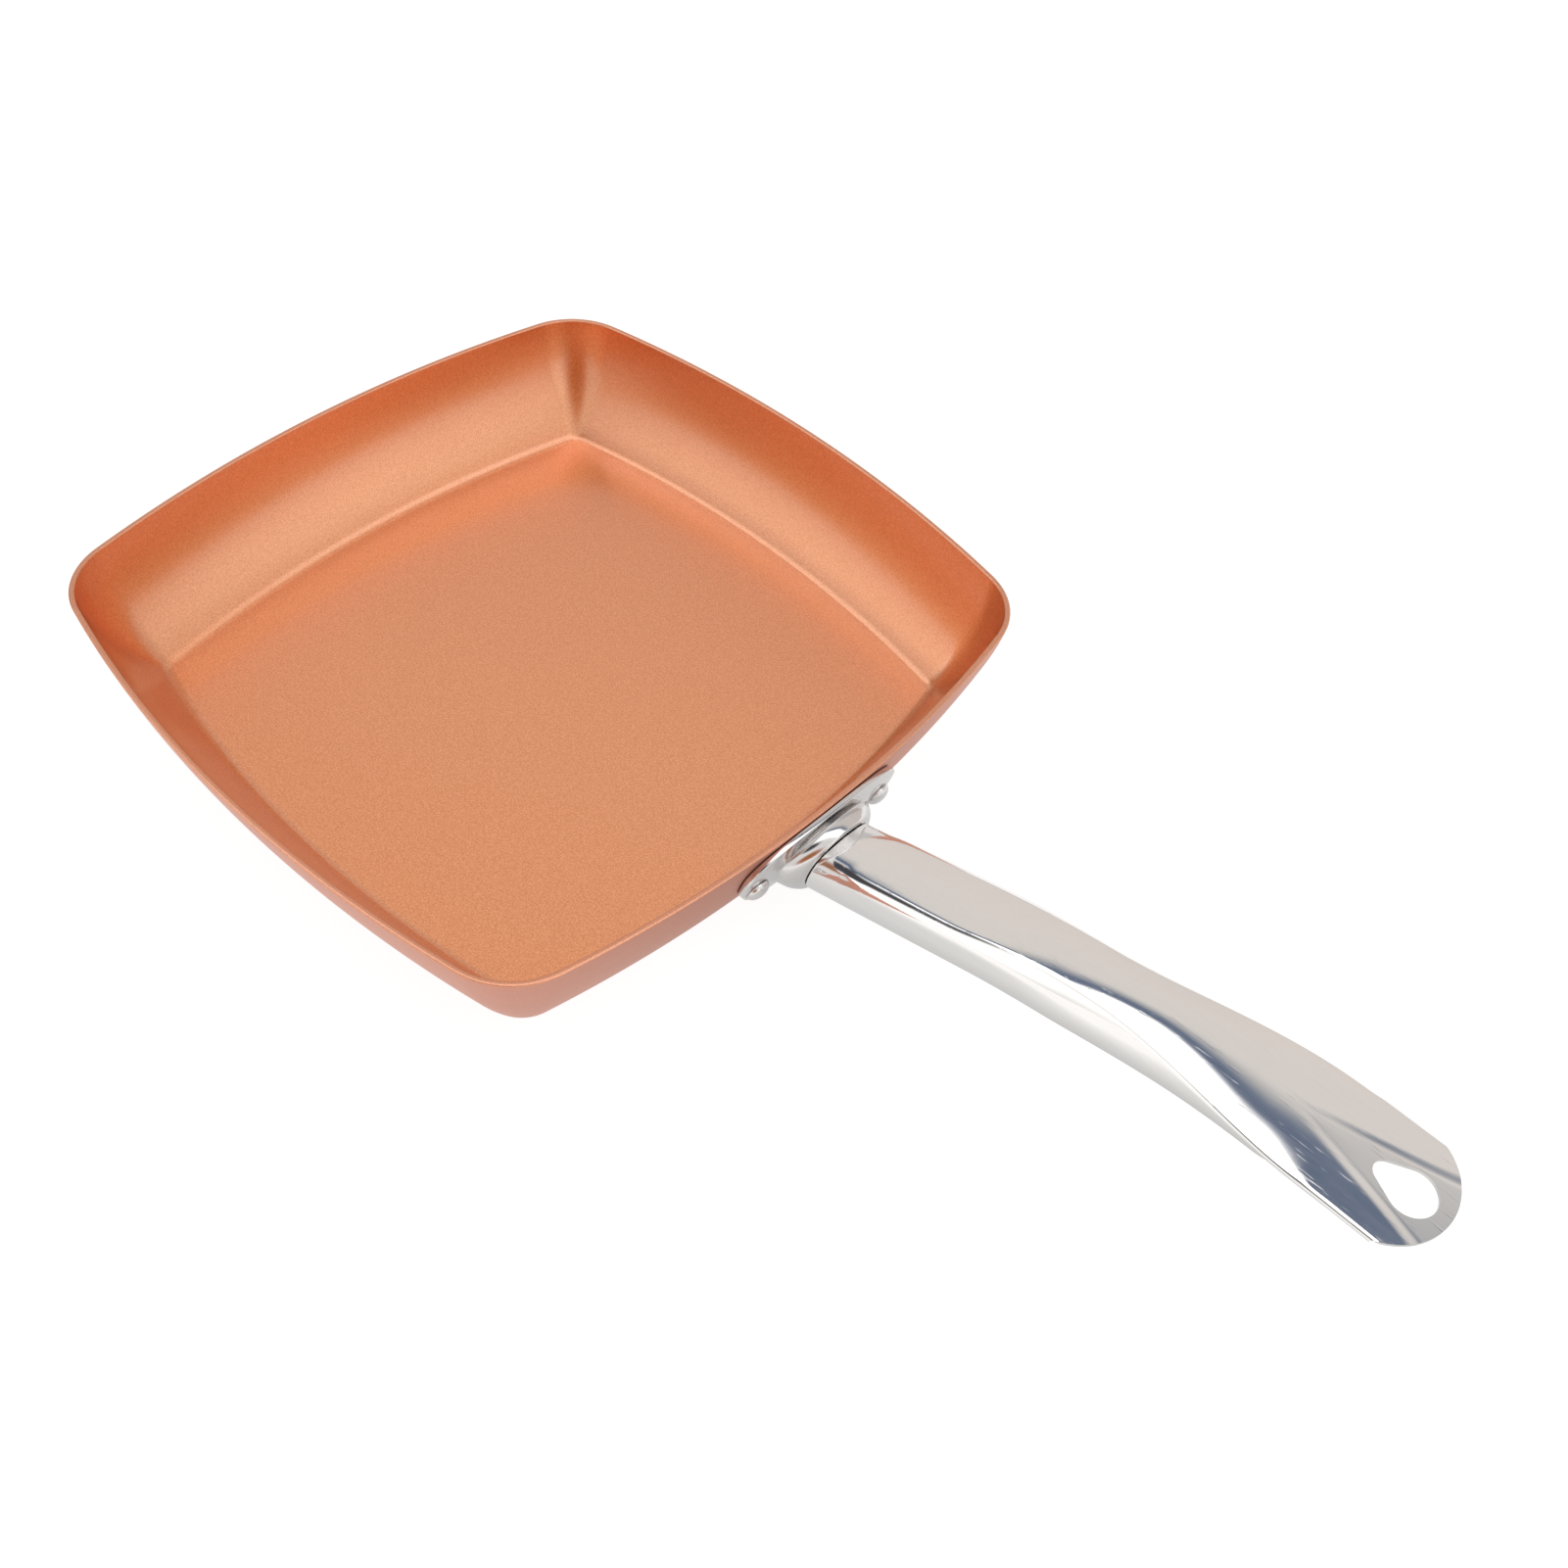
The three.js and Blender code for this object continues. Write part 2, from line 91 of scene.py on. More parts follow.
def smooth_mesh(name, points, faces, outwards=True, **values):
    """Fills a mesh, merges the points that coincide, and stores each named value on its points."""
    mesh = bpy.data.meshes.new(name)
    mesh.from_pydata(points.reshape(-1, 3).tolist(), [], faces.tolist())
    for label, numbers in values.items():
        stored = mesh.attributes.new(label, "FLOAT", "POINT")
        stored.data.foreach_set("value", np.ravel(numbers).astype(np.float32))
    weld = bmesh.new()
    weld.from_mesh(mesh)
    bmesh.ops.remove_doubles(weld, verts=weld.verts, dist=MERGE_DISTANCE)
    if outwards:
        bmesh.ops.recalc_face_normals(weld, faces=weld.faces)
    weld.to_mesh(mesh)
    weld.free()
    mesh.shade_smooth()
    return mesh


def add_piece(name, mesh, node):
    """Puts a mesh into the scene in place of a node."""
    piece = bpy.data.objects.new(name, mesh)
    bpy.context.collection.objects.link(piece)
    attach(piece, "root")
    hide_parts(node)
    print(name, "has", len(mesh.polygons), "faces before modifiers")
    return piece


# %% [markdown]
# ## The pan's outline from above
# The sides are bowed: each is an arc of a large circle, and the corners are smaller arcs that meet them
# without a kink. An outline further in keeps the same centres and loses its inset from every radius. Points
# of the plane are complex numbers, x + iy, so that a quarter turn is a multiplication by i.

# %% Plan outline
rim_half_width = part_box("pan_body")[1].x
rim_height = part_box("pan_body")[1].z
SIDE_BOW_RADIUS = 430 * MM
RIM_CORNER_RADIUS = 26 * MM
SHARPEST_CORNER = 1.5 * MM
SIDE_STEPS = 56
CORNER_STEPS = 28
side_centre = rim_half_width - SIDE_BOW_RADIUS


def plan_outline(inset):
    """Bowed square for each inset: a side arc and a corner arc, repeated at four quarter turns."""
    inset = np.asarray(inset)[:, None]
    side_radius = SIDE_BOW_RADIUS - inset
    corner_radius = np.maximum(RIM_CORNER_RADIUS - inset, SHARPEST_CORNER)
    reach = side_radius - corner_radius
    corner_centre = (side_centre + np.sqrt(2 * reach**2 - side_centre**2)) / 2
    turn = np.arctan2(corner_centre, corner_centre - side_centre)
    along_side = np.linspace(-1, 1, SIDE_STEPS, endpoint=False)
    along_corner = np.linspace(0, 1, CORNER_STEPS, endpoint=False)
    side = side_centre + side_radius * np.exp(1j * turn * along_side)
    corner_angle = turn + (np.pi / 2 - 2 * turn) * along_corner
    corner = (1 + 1j) * corner_centre + corner_radius * np.exp(1j * corner_angle)
    quarter = np.hstack([side, corner])
    return np.hstack([quarter * 1j**turns for turns in range(4)])


print("rim in mm:", round(2 * rim_half_width / MM, 1), "wide,", round(rim_height / MM, 1), "high")

# %% [markdown]
# ## The wall's profile
# A pressed wall leaves the rim nearly upright and flattens towards the floor: an arc whose centre lies
# inside the pan. A fillet turns it into the floor. The inner and the outer wall are two such curves, so the
# metal is thin at the rim and thicker at the heel.

# %% Wall curves
FLOOR_THICKNESS = 1.6 * MM
RIM_THICKNESS = 1.8 * MM
WALL_LEAN = np.radians(10)
WALL_RUN = 19.1 * MM
HEEL_METAL = 5 * MM
CREASE_RADIUS = 5 * MM
HEEL_RADIUS = 8 * MM
RIM_ROUND = 0.55 * MM
RIM_SQUARENESS = 0.7
WALL_STEPS = 36
FILLET_STEPS = 14
RIM_STEPS = 14
crease_inset = RIM_THICKNESS + WALL_RUN


def wall_arc(rim_inset, floor_inset, floor_height):
    """Radius and centre of an arc that leans by WALL_LEAN at the rim and ends at floor_inset."""
    run = floor_inset - rim_inset
    drop = rim_height - floor_height
    radius = np.hypot(run, drop) / (2 * np.sin(np.arctan2(run, drop) - WALL_LEAN))
    return radius, rim_inset + radius * np.cos(WALL_LEAN), rim_height + radius * np.sin(WALL_LEAN)


def wall_curve(arc, floor_height, fillet):
    """Insets and heights down a wall arc from just under the rim, then round a fillet to the floor."""
    radius, centre_inset, centre_height = arc
    rise = centre_height - floor_height - fillet
    fillet_inset = centre_inset - np.sqrt((radius - fillet) ** 2 - rise**2)
    touch = np.arctan2(rise, centre_inset - fillet_inset)
    top = np.arcsin((centre_height - rim_height + RIM_ROUND) / radius)
    down = np.linspace(top, touch, WALL_STEPS)
    turn = np.linspace(touch, np.pi / 2, FILLET_STEPS)[1:]
    inset = [centre_inset - radius * np.cos(down), fillet_inset - fillet * np.cos(turn)]
    height = [centre_height - radius * np.sin(down), floor_height + fillet * (1 - np.sin(turn))]
    return np.concatenate(inset), np.concatenate(height)


outer_arc = wall_arc(0, crease_inset - HEEL_METAL, 0)
inner_arc = wall_arc(RIM_THICKNESS, crease_inset, FLOOR_THICKNESS)
outer_inset, outer_height = wall_curve(outer_arc, 0, HEEL_RADIUS)
inner_inset, inner_height = wall_curve(inner_arc, FLOOR_THICKNESS, CREASE_RADIUS)
rim_angle = np.linspace(0, np.pi, RIM_STEPS)[1:-1]
rim_middle = (outer_inset[0] + inner_inset[0]) / 2
rim_half_thickness = (inner_inset[0] - outer_inset[0]) / 2
rim_across = np.sign(np.cos(rim_angle)) * np.abs(np.cos(rim_angle)) ** RIM_SQUARENESS
rim_inset = rim_middle - rim_half_thickness * rim_across
rim_rise = rim_height + RIM_ROUND * (np.sin(rim_angle) ** RIM_SQUARENESS - 1)
print("wall arcs in mm:", round(outer_arc[0] / MM, 1), "outside,", round(inner_arc[0] / MM, 1), "inside")

# %% [markdown]
# ## The pan body
# One closed surface: from the middle of the recess under the base, out to the heel, up the outer wall, over
# the rim, down the inner wall and across the floor. The recess holds a round plate, so its rings are circles
# that change to the bowed square. A value called inside is the share of the cooking coat: 0 outside, 1 in
# the pan, and half on the rim, where the two coats meet.

# %% Pan body
plate_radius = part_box("base_plate")[1].x
plate_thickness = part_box("base_plate")[1].z
PLATE_GAP = 0.3 * MM
BASE_STEPS = 6
FLOOR_STEPS = 22
RIM_COAT_SHARE = 0.5


def pan_body_mesh():
    """Rings of the plan outline along the profile, closed by flat rings at both ends."""
    inset = np.concatenate([outer_inset[::-1], rim_inset, inner_inset])
    height = np.concatenate([outer_height[::-1], rim_rise, inner_height])
    wall = plan_outline(inset)
    heel = wall[0]
    recess = (plate_radius + PLATE_GAP) * heel / np.abs(heel)
    recess_rings = [0 * recess, recess]
    outwards = np.linspace(0, 1, BASE_STEPS, endpoint=False)[:, None]
    base = recess + (heel - recess) * outwards
    floor = wall[-1] * np.linspace(1, 0, FLOOR_STEPS)[1:, None]
    rings = np.vstack([recess_rings, base, wall, floor])
    recess_heights = [plate_thickness] * len(recess_rings)
    floor_heights = [FLOOR_THICKNESS] * len(floor)
    heights = np.concatenate([recess_heights, [0] * BASE_STEPS, height, floor_heights])
    rim_start = len(recess_rings) + BASE_STEPS + len(outer_inset)
    inside = np.ones(len(rings))
    inside[:rim_start] = 0
    inside[rim_start : rim_start + len(rim_inset)] = RIM_COAT_SHARE
    heights = np.broadcast_to(heights[:, None], rings.shape)
    inside = np.broadcast_to(inside[:, None], rings.shape)
    points = np.stack([rings.real, rings.imag, heights], axis=-1)
    return smooth_mesh("pan_body_looks", points, grid_quads(*rings.shape, True), inside=inside)


pan_body = add_piece("pan_body_looks", pan_body_mesh(), "pan_body")

# %% [markdown]
# ## The base plate
# A thin steel disc under the pan lets it work on an induction hob. Its underside is turned with fine rings.
# It is a profile, radius against height, carried round the z axis.

# %% Base plate
PLATE_EDGE = 0.15 * MM
RING_PITCH = 2.5 * MM
RING_DEPTH = 0.12 * MM
POINTS_PER_RING = 6
TURNED_RADIUS = 70 * MM
TURN_STEPS = 160


def lathe(radius, height, steps):
    """A profile of radii and heights carried round the z axis: each point becomes a circle."""
    turn = np.linspace(0, 2 * np.pi, steps, endpoint=False)
    circle = radius[:, None] * np.exp(1j * turn)
    heights = np.broadcast_to(height[:, None], circle.shape)
    return np.stack([circle.real, circle.imag, heights], axis=-1)


def base_plate_mesh():
    """Under side with cosine grooves RING_PITCH apart, a small chamfer, and a flat top."""
    turned = np.linspace(0, TURNED_RADIUS, round(POINTS_PER_RING * TURNED_RADIUS / RING_PITCH) + 1)
    groove = RING_DEPTH * (1 - np.cos(2 * np.pi * turned / RING_PITCH)) / 2
    edge = [plate_radius - PLATE_EDGE, plate_radius, plate_radius, plate_radius - PLATE_EDGE, 0]
    edge_height = [0, PLATE_EDGE, plate_thickness - PLATE_EDGE, plate_thickness, plate_thickness]
    points = lathe(np.append(turned, edge), np.append(groove, edge_height), TURN_STEPS)
    return smooth_mesh("base_plate_looks", points, grid_quads(*points.shape[:2], True))


base_plate = add_piece("base_plate_looks", base_plate_mesh(), "base_plate")

# %% [markdown]
# ## Where the handle starts
# The joint between the bracket and the handle lies on a plane that leans away from the wall. The handle's
# tube leaves it at a steeper tilt. These directions place the bracket and the handle.

# %% Joint directions
JOINT_REACH = 4.8 * MM
JOINT_DROP = 16.8 * MM
JOINT_LEAN = np.radians(11.5)
HANDLE_TILT = np.radians(17.5)
TUBE_RADIUS = 12.2 * MM
joint = np.array([rim_half_width + JOINT_REACH, 0, rim_height - JOINT_DROP])
joint_out = np.array([np.cos(JOINT_LEAN), 0, -np.sin(JOINT_LEAN)])
joint_up = np.array([np.sin(JOINT_LEAN), 0, np.cos(JOINT_LEAN)])
along_y = np.array([0, 1, 0])
joint_angle = HANDLE_TILT + JOINT_LEAN


def wall_x(y, height, standoff):
    """x of the outer wall on the handle's side at a place across and a height, moved out by the standoff."""
    radius, centre_inset, centre_height = outer_arc
    inset = centre_inset - np.sqrt(radius**2 - (centre_height - height) ** 2)
    return side_centre + np.sqrt((SIDE_BOW_RADIUS - inset + standoff) ** 2 - y**2)


print("joint in mm:", np.round(joint / MM, 1).tolist())

# %% [markdown]
# ## The bracket's outlines
# The bracket is a steel pressing: a flange with two ears lies on the wall, and a neck grows out of it to
# meet the tube. Its surface is a stack of closed rings. The rings are corners only: a quadratic spline
# through the middles between them rounds every corner, as a press rounds sheet metal.

# %% Bracket rings
SEAT_GAP = 0.3 * MM
FLANGE_FACE = 2.0 * MM
FLANGE_TAPER = 0.06
FLANGE_HALF_WIDTH = 31 * MM
FLANGE_MIDDLE_DROP = 11.5 * MM
FLANGE_RISE = 11.2 * MM
FLANGE_FALL = 17.5 * MM
FLANGE_SQUARENESS = 0.78
FLANGE_EDGE = 0.7 * MM
RIVET_SPREAD = 25.5 * MM
RIVET_DROP = 15.5 * MM
RING_POINTS = 200
SPLINE_STEPS = 7
ear_height = rim_height - RIVET_DROP
flange_middle = rim_height - FLANGE_MIDDLE_DROP
around = np.linspace(0, 2 * np.pi, RING_POINTS, endpoint=False)


def spline_rings(rings):
    """Quadratic spline: each ring is the corner between the middles of its two neighbours' spans."""
    rings = np.asarray(rings)
    middles = (rings[1:] + rings[:-1]) / 2
    starts = np.concatenate([rings[:1], middles[1:-1]])
    ends = np.concatenate([middles[1:-1], rings[-1:]])
    part = np.linspace(0, 1, SPLINE_STEPS)[:, None, None]
    spans = zip(starts, rings[1:-1], ends)
    curves = [(1 - part) ** 2 * a + 2 * part * (1 - part) * b + part**2 * c for a, b, c in spans]
    return np.concatenate(curves)


def joint_ring(half_width, half_height, back):
    """An oval round the joint's middle, parallel to the joint face and a distance behind it."""
    across = half_width * np.cos(around)[:, None] * along_y
    return joint - back * joint_out + across + half_height * np.sin(around)[:, None] * joint_up


def flange_outline():
    """Flange outline across the wall, y + iz: a squarish oval that reaches further down than up."""
    across = np.sign(np.cos(around)) * np.abs(np.cos(around)) ** FLANGE_SQUARENESS
    upright = np.sign(np.sin(around)) * np.abs(np.sin(around)) ** FLANGE_SQUARENESS
    reach = np.where(upright > 0, FLANGE_RISE, FLANGE_FALL)
    return FLANGE_HALF_WIDTH * across + 1j * (flange_middle + reach * upright)


def face_standoff(height):
    """How far the flange's face stands out from the wall: more further down, because the wall leans in."""
    return FLANGE_FACE + FLANGE_TAPER * (rim_height - height)


def on_wall(place, standoff):
    """Points y + iz laid on the outer wall at a standoff."""
    return np.stack([wall_x(place.real, place.imag, standoff), place.real, place.imag], axis=-1)


flange_size = [np.ptp(flange_outline().real), np.ptp(flange_outline().imag)]
print("flange outline in mm:", [round(size / MM, 1) for size in flange_size])

# %% [markdown]
# ## The bracket
# The rings start in the middle of the joint face, go over the shoulder, which is wider than the tube, and
# down the neck to its foot on the flange. Then they spread over the flange's face, turn round its edge and
# close behind it, a small gap off the wall.

# %% Bracket
FOOT_HEIGHT = 24.6 * MM
FOOT_HALF_WIDTH = 19.5 * MM
FOOT_HALF_HEIGHT = 10.6 * MM
FOOT_RISE = 0.4 * MM
# On the joint face: shares of the tube's radius and of the oval's half height
FACE_RINGS = ((0, 0), (0.7, 0.7), (0.93, 0.94))
# On the shoulder, in mm: wider than the tube, higher than the oval, and behind the joint face
SHOULDER_RINGS = ((0.3, 0.1, 0), (2.4, 0.2, 0.5), (5, 0.2, 2.6), (6.4, -0.9, 5.2))
# On the flange: shares of the way from the neck's foot to the inner side of the flange's edge
FLANGE_RINGS = (0.28, 0.65, 1)
oval_half_height = TUBE_RADIUS / np.cos(joint_angle)


def bracket_mesh():
    """Rings from the joint face to the back of the flange, rounded by the spline."""
    rim = flange_outline()
    middle = 1j * flange_middle
    inner_rim = rim - FLANGE_EDGE * (rim - middle) / np.abs(rim - middle)
    foot = FOOT_HALF_WIDTH * np.cos(around) + 1j * (FOOT_HEIGHT + FOOT_HALF_HEIGHT * np.sin(around))
    rings = [joint_ring(wide * TUBE_RADIUS, high * oval_half_height, 0) for wide, high in FACE_RINGS]
    for wider, higher, back in SHOULDER_RINGS:
        rings.append(joint_ring(TUBE_RADIUS + wider * MM, oval_half_height + higher * MM, back * MM))
    rings.append(on_wall(foot, face_standoff(foot.imag) + FOOT_RISE))
    for place in [(1 - share) * foot + share * inner_rim for share in FLANGE_RINGS] + [rim]:
        rings.append(on_wall(place, face_standoff(place.imag)))
    for place in (rim, inner_rim, (inner_rim + middle) / 2, middle + 0 * rim):
        rings.append(on_wall(place, SEAT_GAP))
    points = spline_rings(rings)
    return smooth_mesh("bracket_looks", points, grid_quads(*points.shape[:2], True))


bracket = add_piece("bracket_looks", bracket_mesh(), "handle_bracket")

# %% [markdown]
# ## The rivets
# A rivet has a low round head inside the pan, a shank through the wall and the ear, and a dome formed
# outside. It is turned like the base plate and then laid on an axis straight out of the wall.

# %% Rivets
SHANK_RADIUS = 2 * MM
HEAD_RADIUS = 5.5 * MM
HEAD_HEIGHT = 2.2 * MM
DOME_RADIUS = 4 * MM
DOME_HEIGHT = 2.5 * MM
EAR_WALL = 2.6 * MM
DOME_SINK = 0.15 * MM
DOME_STEPS = 14
RIVET_STEPS = 64


def dome(radius, rise):
    """Quarter of an oval: radii from the foot of a dome to its top, and the heights above the foot."""
    angle = np.linspace(0, np.pi / 2, DOME_STEPS)
    return radius * np.cos(angle), rise * np.sin(angle)


def rivet_mesh(name, side):
    """Head, shank and dome as one profile round an axis that stands straight out of the wall."""
    radius, _, centre_height = outer_arc
    y = side * RIVET_SPREAD
    place = np.array([wall_x(y, ear_height, 0), y, ear_height])
    lean = np.arcsin((centre_height - ear_height) / radius)
    turn = np.arctan2(y, place[0] - side_centre)
    out = np.array([np.cos(turn) * np.cos(lean), np.sin(turn) * np.cos(lean), -np.sin(lean)])
    across = np.array([-np.sin(turn), np.cos(turn), 0])
    head_seat = -EAR_WALL
    ear_face = face_standoff(ear_height) - DOME_SINK
    head_radius, head_rise = dome(HEAD_RADIUS, HEAD_HEIGHT)
    dome_radius, dome_rise = dome(DOME_RADIUS, DOME_HEIGHT)
    reach = np.concatenate([head_radius[::-1], [SHANK_RADIUS] * 2, dome_radius])
    along = np.concatenate([head_seat - head_rise[::-1], [head_seat, ear_face], ear_face + dome_rise])
    turned = lathe(reach, along, RIVET_STEPS)
    points = place + turned @ np.stack([across, np.cross(out, across), out])
    return smooth_mesh(name, points, grid_quads(*points.shape[:2], True))


rivets = []
for node, side in (("rivet_left", 1), ("rivet_right", -1)):
    rivets.append(add_piece(node + "_looks", rivet_mesh(node + "_looks", side), node))

# %% [markdown]
# ## The handle's path and section
# The handle is one steel sheet, pressed and bent. From the joint it has a round neck, a flat tongue on top,
# a narrow grip, a crowned shoulder and a wide open tail. Its two long edges follow a path: straight, then a
# bend, then the tail. The section across the path is a belly arc below the edges and a crown arc above
# them. The START and END values are distances along the path from the joint.

# %% Handle path and section
STRAIGHT_LENGTH = 53 * MM
BEND_RADIUS = 311 * MM
TAIL_DROOP = np.radians(2)
NECK_EDGE = 9.95 * MM
TONGUE_EDGE = 9.7 * MM
GRIP_EDGE = 8.5 * MM
TAIL_HALF_WIDTH = 17.1 * MM
TONGUE_START = 10 * MM
TONGUE_SETTLED = 15 * MM
TONGUE_END = 50 * MM
GRIP_START = 85 * MM
WIDEN_START = 90 * MM
WIDEN_END = 161 * MM
NECK_CROWN = 1.9 * MM
TONGUE_CROWN = 1.4 * MM
GRIP_CROWN = 0.95 * MM
SHOULDER_CROWN = 2.2 * MM
TAIL_CROWN = 1.45 * MM
SHOULDER_START = 84 * MM
SHOULDER_PEAK = 115 * MM
SHOULDER_END = 146 * MM
TAIL_BELLY = 9.2 * MM
BELLY_START = 81 * MM
BELLY_END = 193 * MM
edge_rise = np.sqrt(TUBE_RADIUS**2 - GRIP_EDGE**2)
bend_length = BEND_RADIUS * (HANDLE_TILT + TAIL_DROOP)
tip_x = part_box("handle_tube")[1].x


def ease(place, start, end):
    """Smooth step: 0 up to start, 1 from end on, level at both."""
    share = np.clip((place - start) / (end - start), 0, 1)
    return share * share * (3 - 2 * share)


def edge_path(place):
    """x, z and slope of the handle's edges at a distance along them from the joint."""
    slope = HANDLE_TILT - np.clip(place - STRAIGHT_LENGTH, 0, bend_length) / BEND_RADIUS
    straight = np.minimum(place, STRAIGHT_LENGTH)
    tail = np.maximum(place - STRAIGHT_LENGTH - bend_length, 0)
    x = joint[0] - edge_rise * np.sin(HANDLE_TILT) + straight * np.cos(HANDLE_TILT)
    z = joint[2] + edge_rise * np.cos(HANDLE_TILT) + straight * np.sin(HANDLE_TILT)
    x = x + BEND_RADIUS * (np.sin(HANDLE_TILT) - np.sin(slope)) + tail * np.cos(slope)
    z = z + BEND_RADIUS * (np.cos(slope) - np.cos(HANDLE_TILT)) + tail * np.sin(slope)
    return x, z, slope


def grip_edge(place):
    """Half width of the grip between its edges: widest at the neck, narrower on the tongue and the grip."""
    neck_step = (TONGUE_EDGE - NECK_EDGE) * ease(place, TONGUE_START, TONGUE_SETTLED)
    return NECK_EDGE + neck_step + (GRIP_EDGE - TONGUE_EDGE) * ease(place, TONGUE_END, GRIP_START)


def edge_drop(place):
    """How far the edges lie below their path in front, so that they stay on the round of the tube."""
    return edge_rise - np.sqrt(TUBE_RADIUS**2 - grip_edge(place) ** 2)


def section_sizes(place):
    """Half width between the edges, crown above them and belly below them."""
    half_width = grip_edge(place) + (TAIL_HALF_WIDTH - GRIP_EDGE) * ease(place, WIDEN_START, WIDEN_END)
    edge_level = edge_rise - edge_drop(place)
    crown = NECK_CROWN + (TONGUE_CROWN - NECK_CROWN) * ease(place, TONGUE_START, TONGUE_SETTLED)
    crown = crown + (GRIP_CROWN - TONGUE_CROWN) * ease(place, TONGUE_SETTLED, TONGUE_END)
    crown = crown + (SHOULDER_CROWN - GRIP_CROWN) * ease(place, SHOULDER_START, SHOULDER_PEAK)
    crown = crown + (TAIL_CROWN - SHOULDER_CROWN) * ease(place, SHOULDER_PEAK, SHOULDER_END)
    round_belly = TUBE_RADIUS + edge_level
    belly = round_belly + (TAIL_BELLY - round_belly) * ease(place, BELLY_START, BELLY_END)
    return half_width, crown, belly


print("tip of the handle in mm:", round(tip_x / MM, 1))

# %% [markdown]
# ## The tail: pad, flanks and hang hole
# The end of the handle is pressed flat round its hang hole. This pad lies a little lower than the flanks
# and widens towards the tip. From its borders the two flanks slope down gently and then roll over into the
# edges. The hole is an egg: two circles and the lines that touch both.

# %% Tail top and hang hole
PRESS_START = 144 * MM
PRESS_END = 172 * MM
PAD_START = 153 * MM
PAD_SPREAD = 0.24
PAD_SINK = 0.22 * MM
PAD_STEP = 3.2 * MM
FLANK_SLOPE = 0.045
FLANK_STEEPENS = 0.016
STEEPEN_START = 150 * MM
STEEPEN_END = 190 * MM
GRIP_ROLL = 8 * MM
TAIL_ROLL = 1.1 * MM
ROLL_START = 142 * MM
ROLL_END = 167 * MM
WIDE_RADIUS = 6.3 * MM
NARROW_RADIUS = 3.2 * MM
HOLE_LENGTH = 16.4 * MM
HOLE_MARGIN = 3.9 * MM
hole_end = tip_x - HOLE_MARGIN
hole_start = hole_end - HOLE_LENGTH
wide_x = hole_end - WIDE_RADIUS
narrow_x = hole_start + NARROW_RADIUS


def pad_border(place):
    """Half width of the flat pad at a distance along the handle."""
    return PAD_SPREAD * np.maximum(place - PAD_START, 0)


def top_height(place, y):
    """Top above the edges: the crown's arc, which changes to pad, flank and rolled edge at the tail."""
    half_width, crown, _ = section_sizes(place)
    across = np.abs(y)
    radius = (half_width**2 + crown**2) / (2 * crown)
    arc = np.sqrt(radius**2 - across**2) - radius + crown
    border = pad_border(place)
    flank_slope = FLANK_SLOPE + FLANK_STEEPENS * ease(place, STEEPEN_START, STEEPEN_END)
    roll_drop = crown - flank_slope * (half_width - border)
    roll_width = GRIP_ROLL + (TAIL_ROLL - GRIP_ROLL) * ease(place, ROLL_START, ROLL_END)
    rolled = np.maximum(across - half_width + roll_width, 0) / roll_width
    pressed = crown - flank_slope * np.maximum(across - border, 0) - roll_drop * rolled**2
    pressed = pressed - PAD_SINK * (1 - ease(across, border, border + PAD_STEP))
    return arc + ease(place, PRESS_START, PRESS_END) * (pressed - arc)


def hole_half_width(x):
    """Half width of the egg at x: narrow circle, straight sides that touch both circles, wide circle."""
    lean = np.arcsin((WIDE_RADIUS - NARROW_RADIUS) / (wide_x - narrow_x))
    narrow_touch = narrow_x - NARROW_RADIUS * np.sin(lean)
    wide_touch = wide_x - WIDE_RADIUS * np.sin(lean)
    narrow = np.sqrt(np.maximum(NARROW_RADIUS**2 - (x - narrow_x) ** 2, 0))
    wide = np.sqrt(np.maximum(WIDE_RADIUS**2 - (x - wide_x) ** 2, 0))
    straight = NARROW_RADIUS * np.cos(lean) + (x - narrow_touch) * np.tan(lean)
    return np.where(x < narrow_touch, narrow, np.where(x > wide_touch, wide, straight))


print("hang hole in mm: from", round(hole_start / MM, 1), "to", round(hole_end / MM, 1))

# %% [markdown]
# ## Half of the handle's section
# Half of the sheet is a grid: rows run across the handle, and columns run along it. The columns start under
# the belly, or at the rim of its mouth where the tail is open below. They pass a small round crease at the
# edge and end at the middle line, or at the hole's rim. The belly swells a little beside the tongue, where
# pressing the top flat pushes the sides out.

# %% Half of a section
MOUTH_START = 153 * MM
MOUTH_SLANT = np.radians(42)
TAIL_LIP = 1.6 * MM
SIDE_SWELL = 0.5 * MM
SWELL_ANGLE = np.radians(113)
SWELL_SPREAD = np.radians(10)
SWELL_FULL = 20 * MM
SWELL_FADES = 60 * MM
SWELL_ENDS = 100 * MM
NECK_CREASE_ROUND = 3.2 * MM
NECK_CREASE_END = 5 * MM
GRIP_CREASE_ROUND = 1.4 * MM
GRIP_CREASE_START = 22 * MM
GRIP_CREASE_END = 25 * MM
TAIL_CREASE_ROUND = 1.0 * MM
TAIL_CREASE_START = 75 * MM
GRIP_SPLIT_SHARE = 0.3
GRIP_SPLIT_END = 140 * MM
PAD_SPLIT_START = 160 * MM
SLOPE_STEP = 0.01 * MM
BELLY_COLUMNS = 46
CREASE_COLUMNS = 9
FLANK_COLUMNS = 22
PAD_COLUMNS = 16


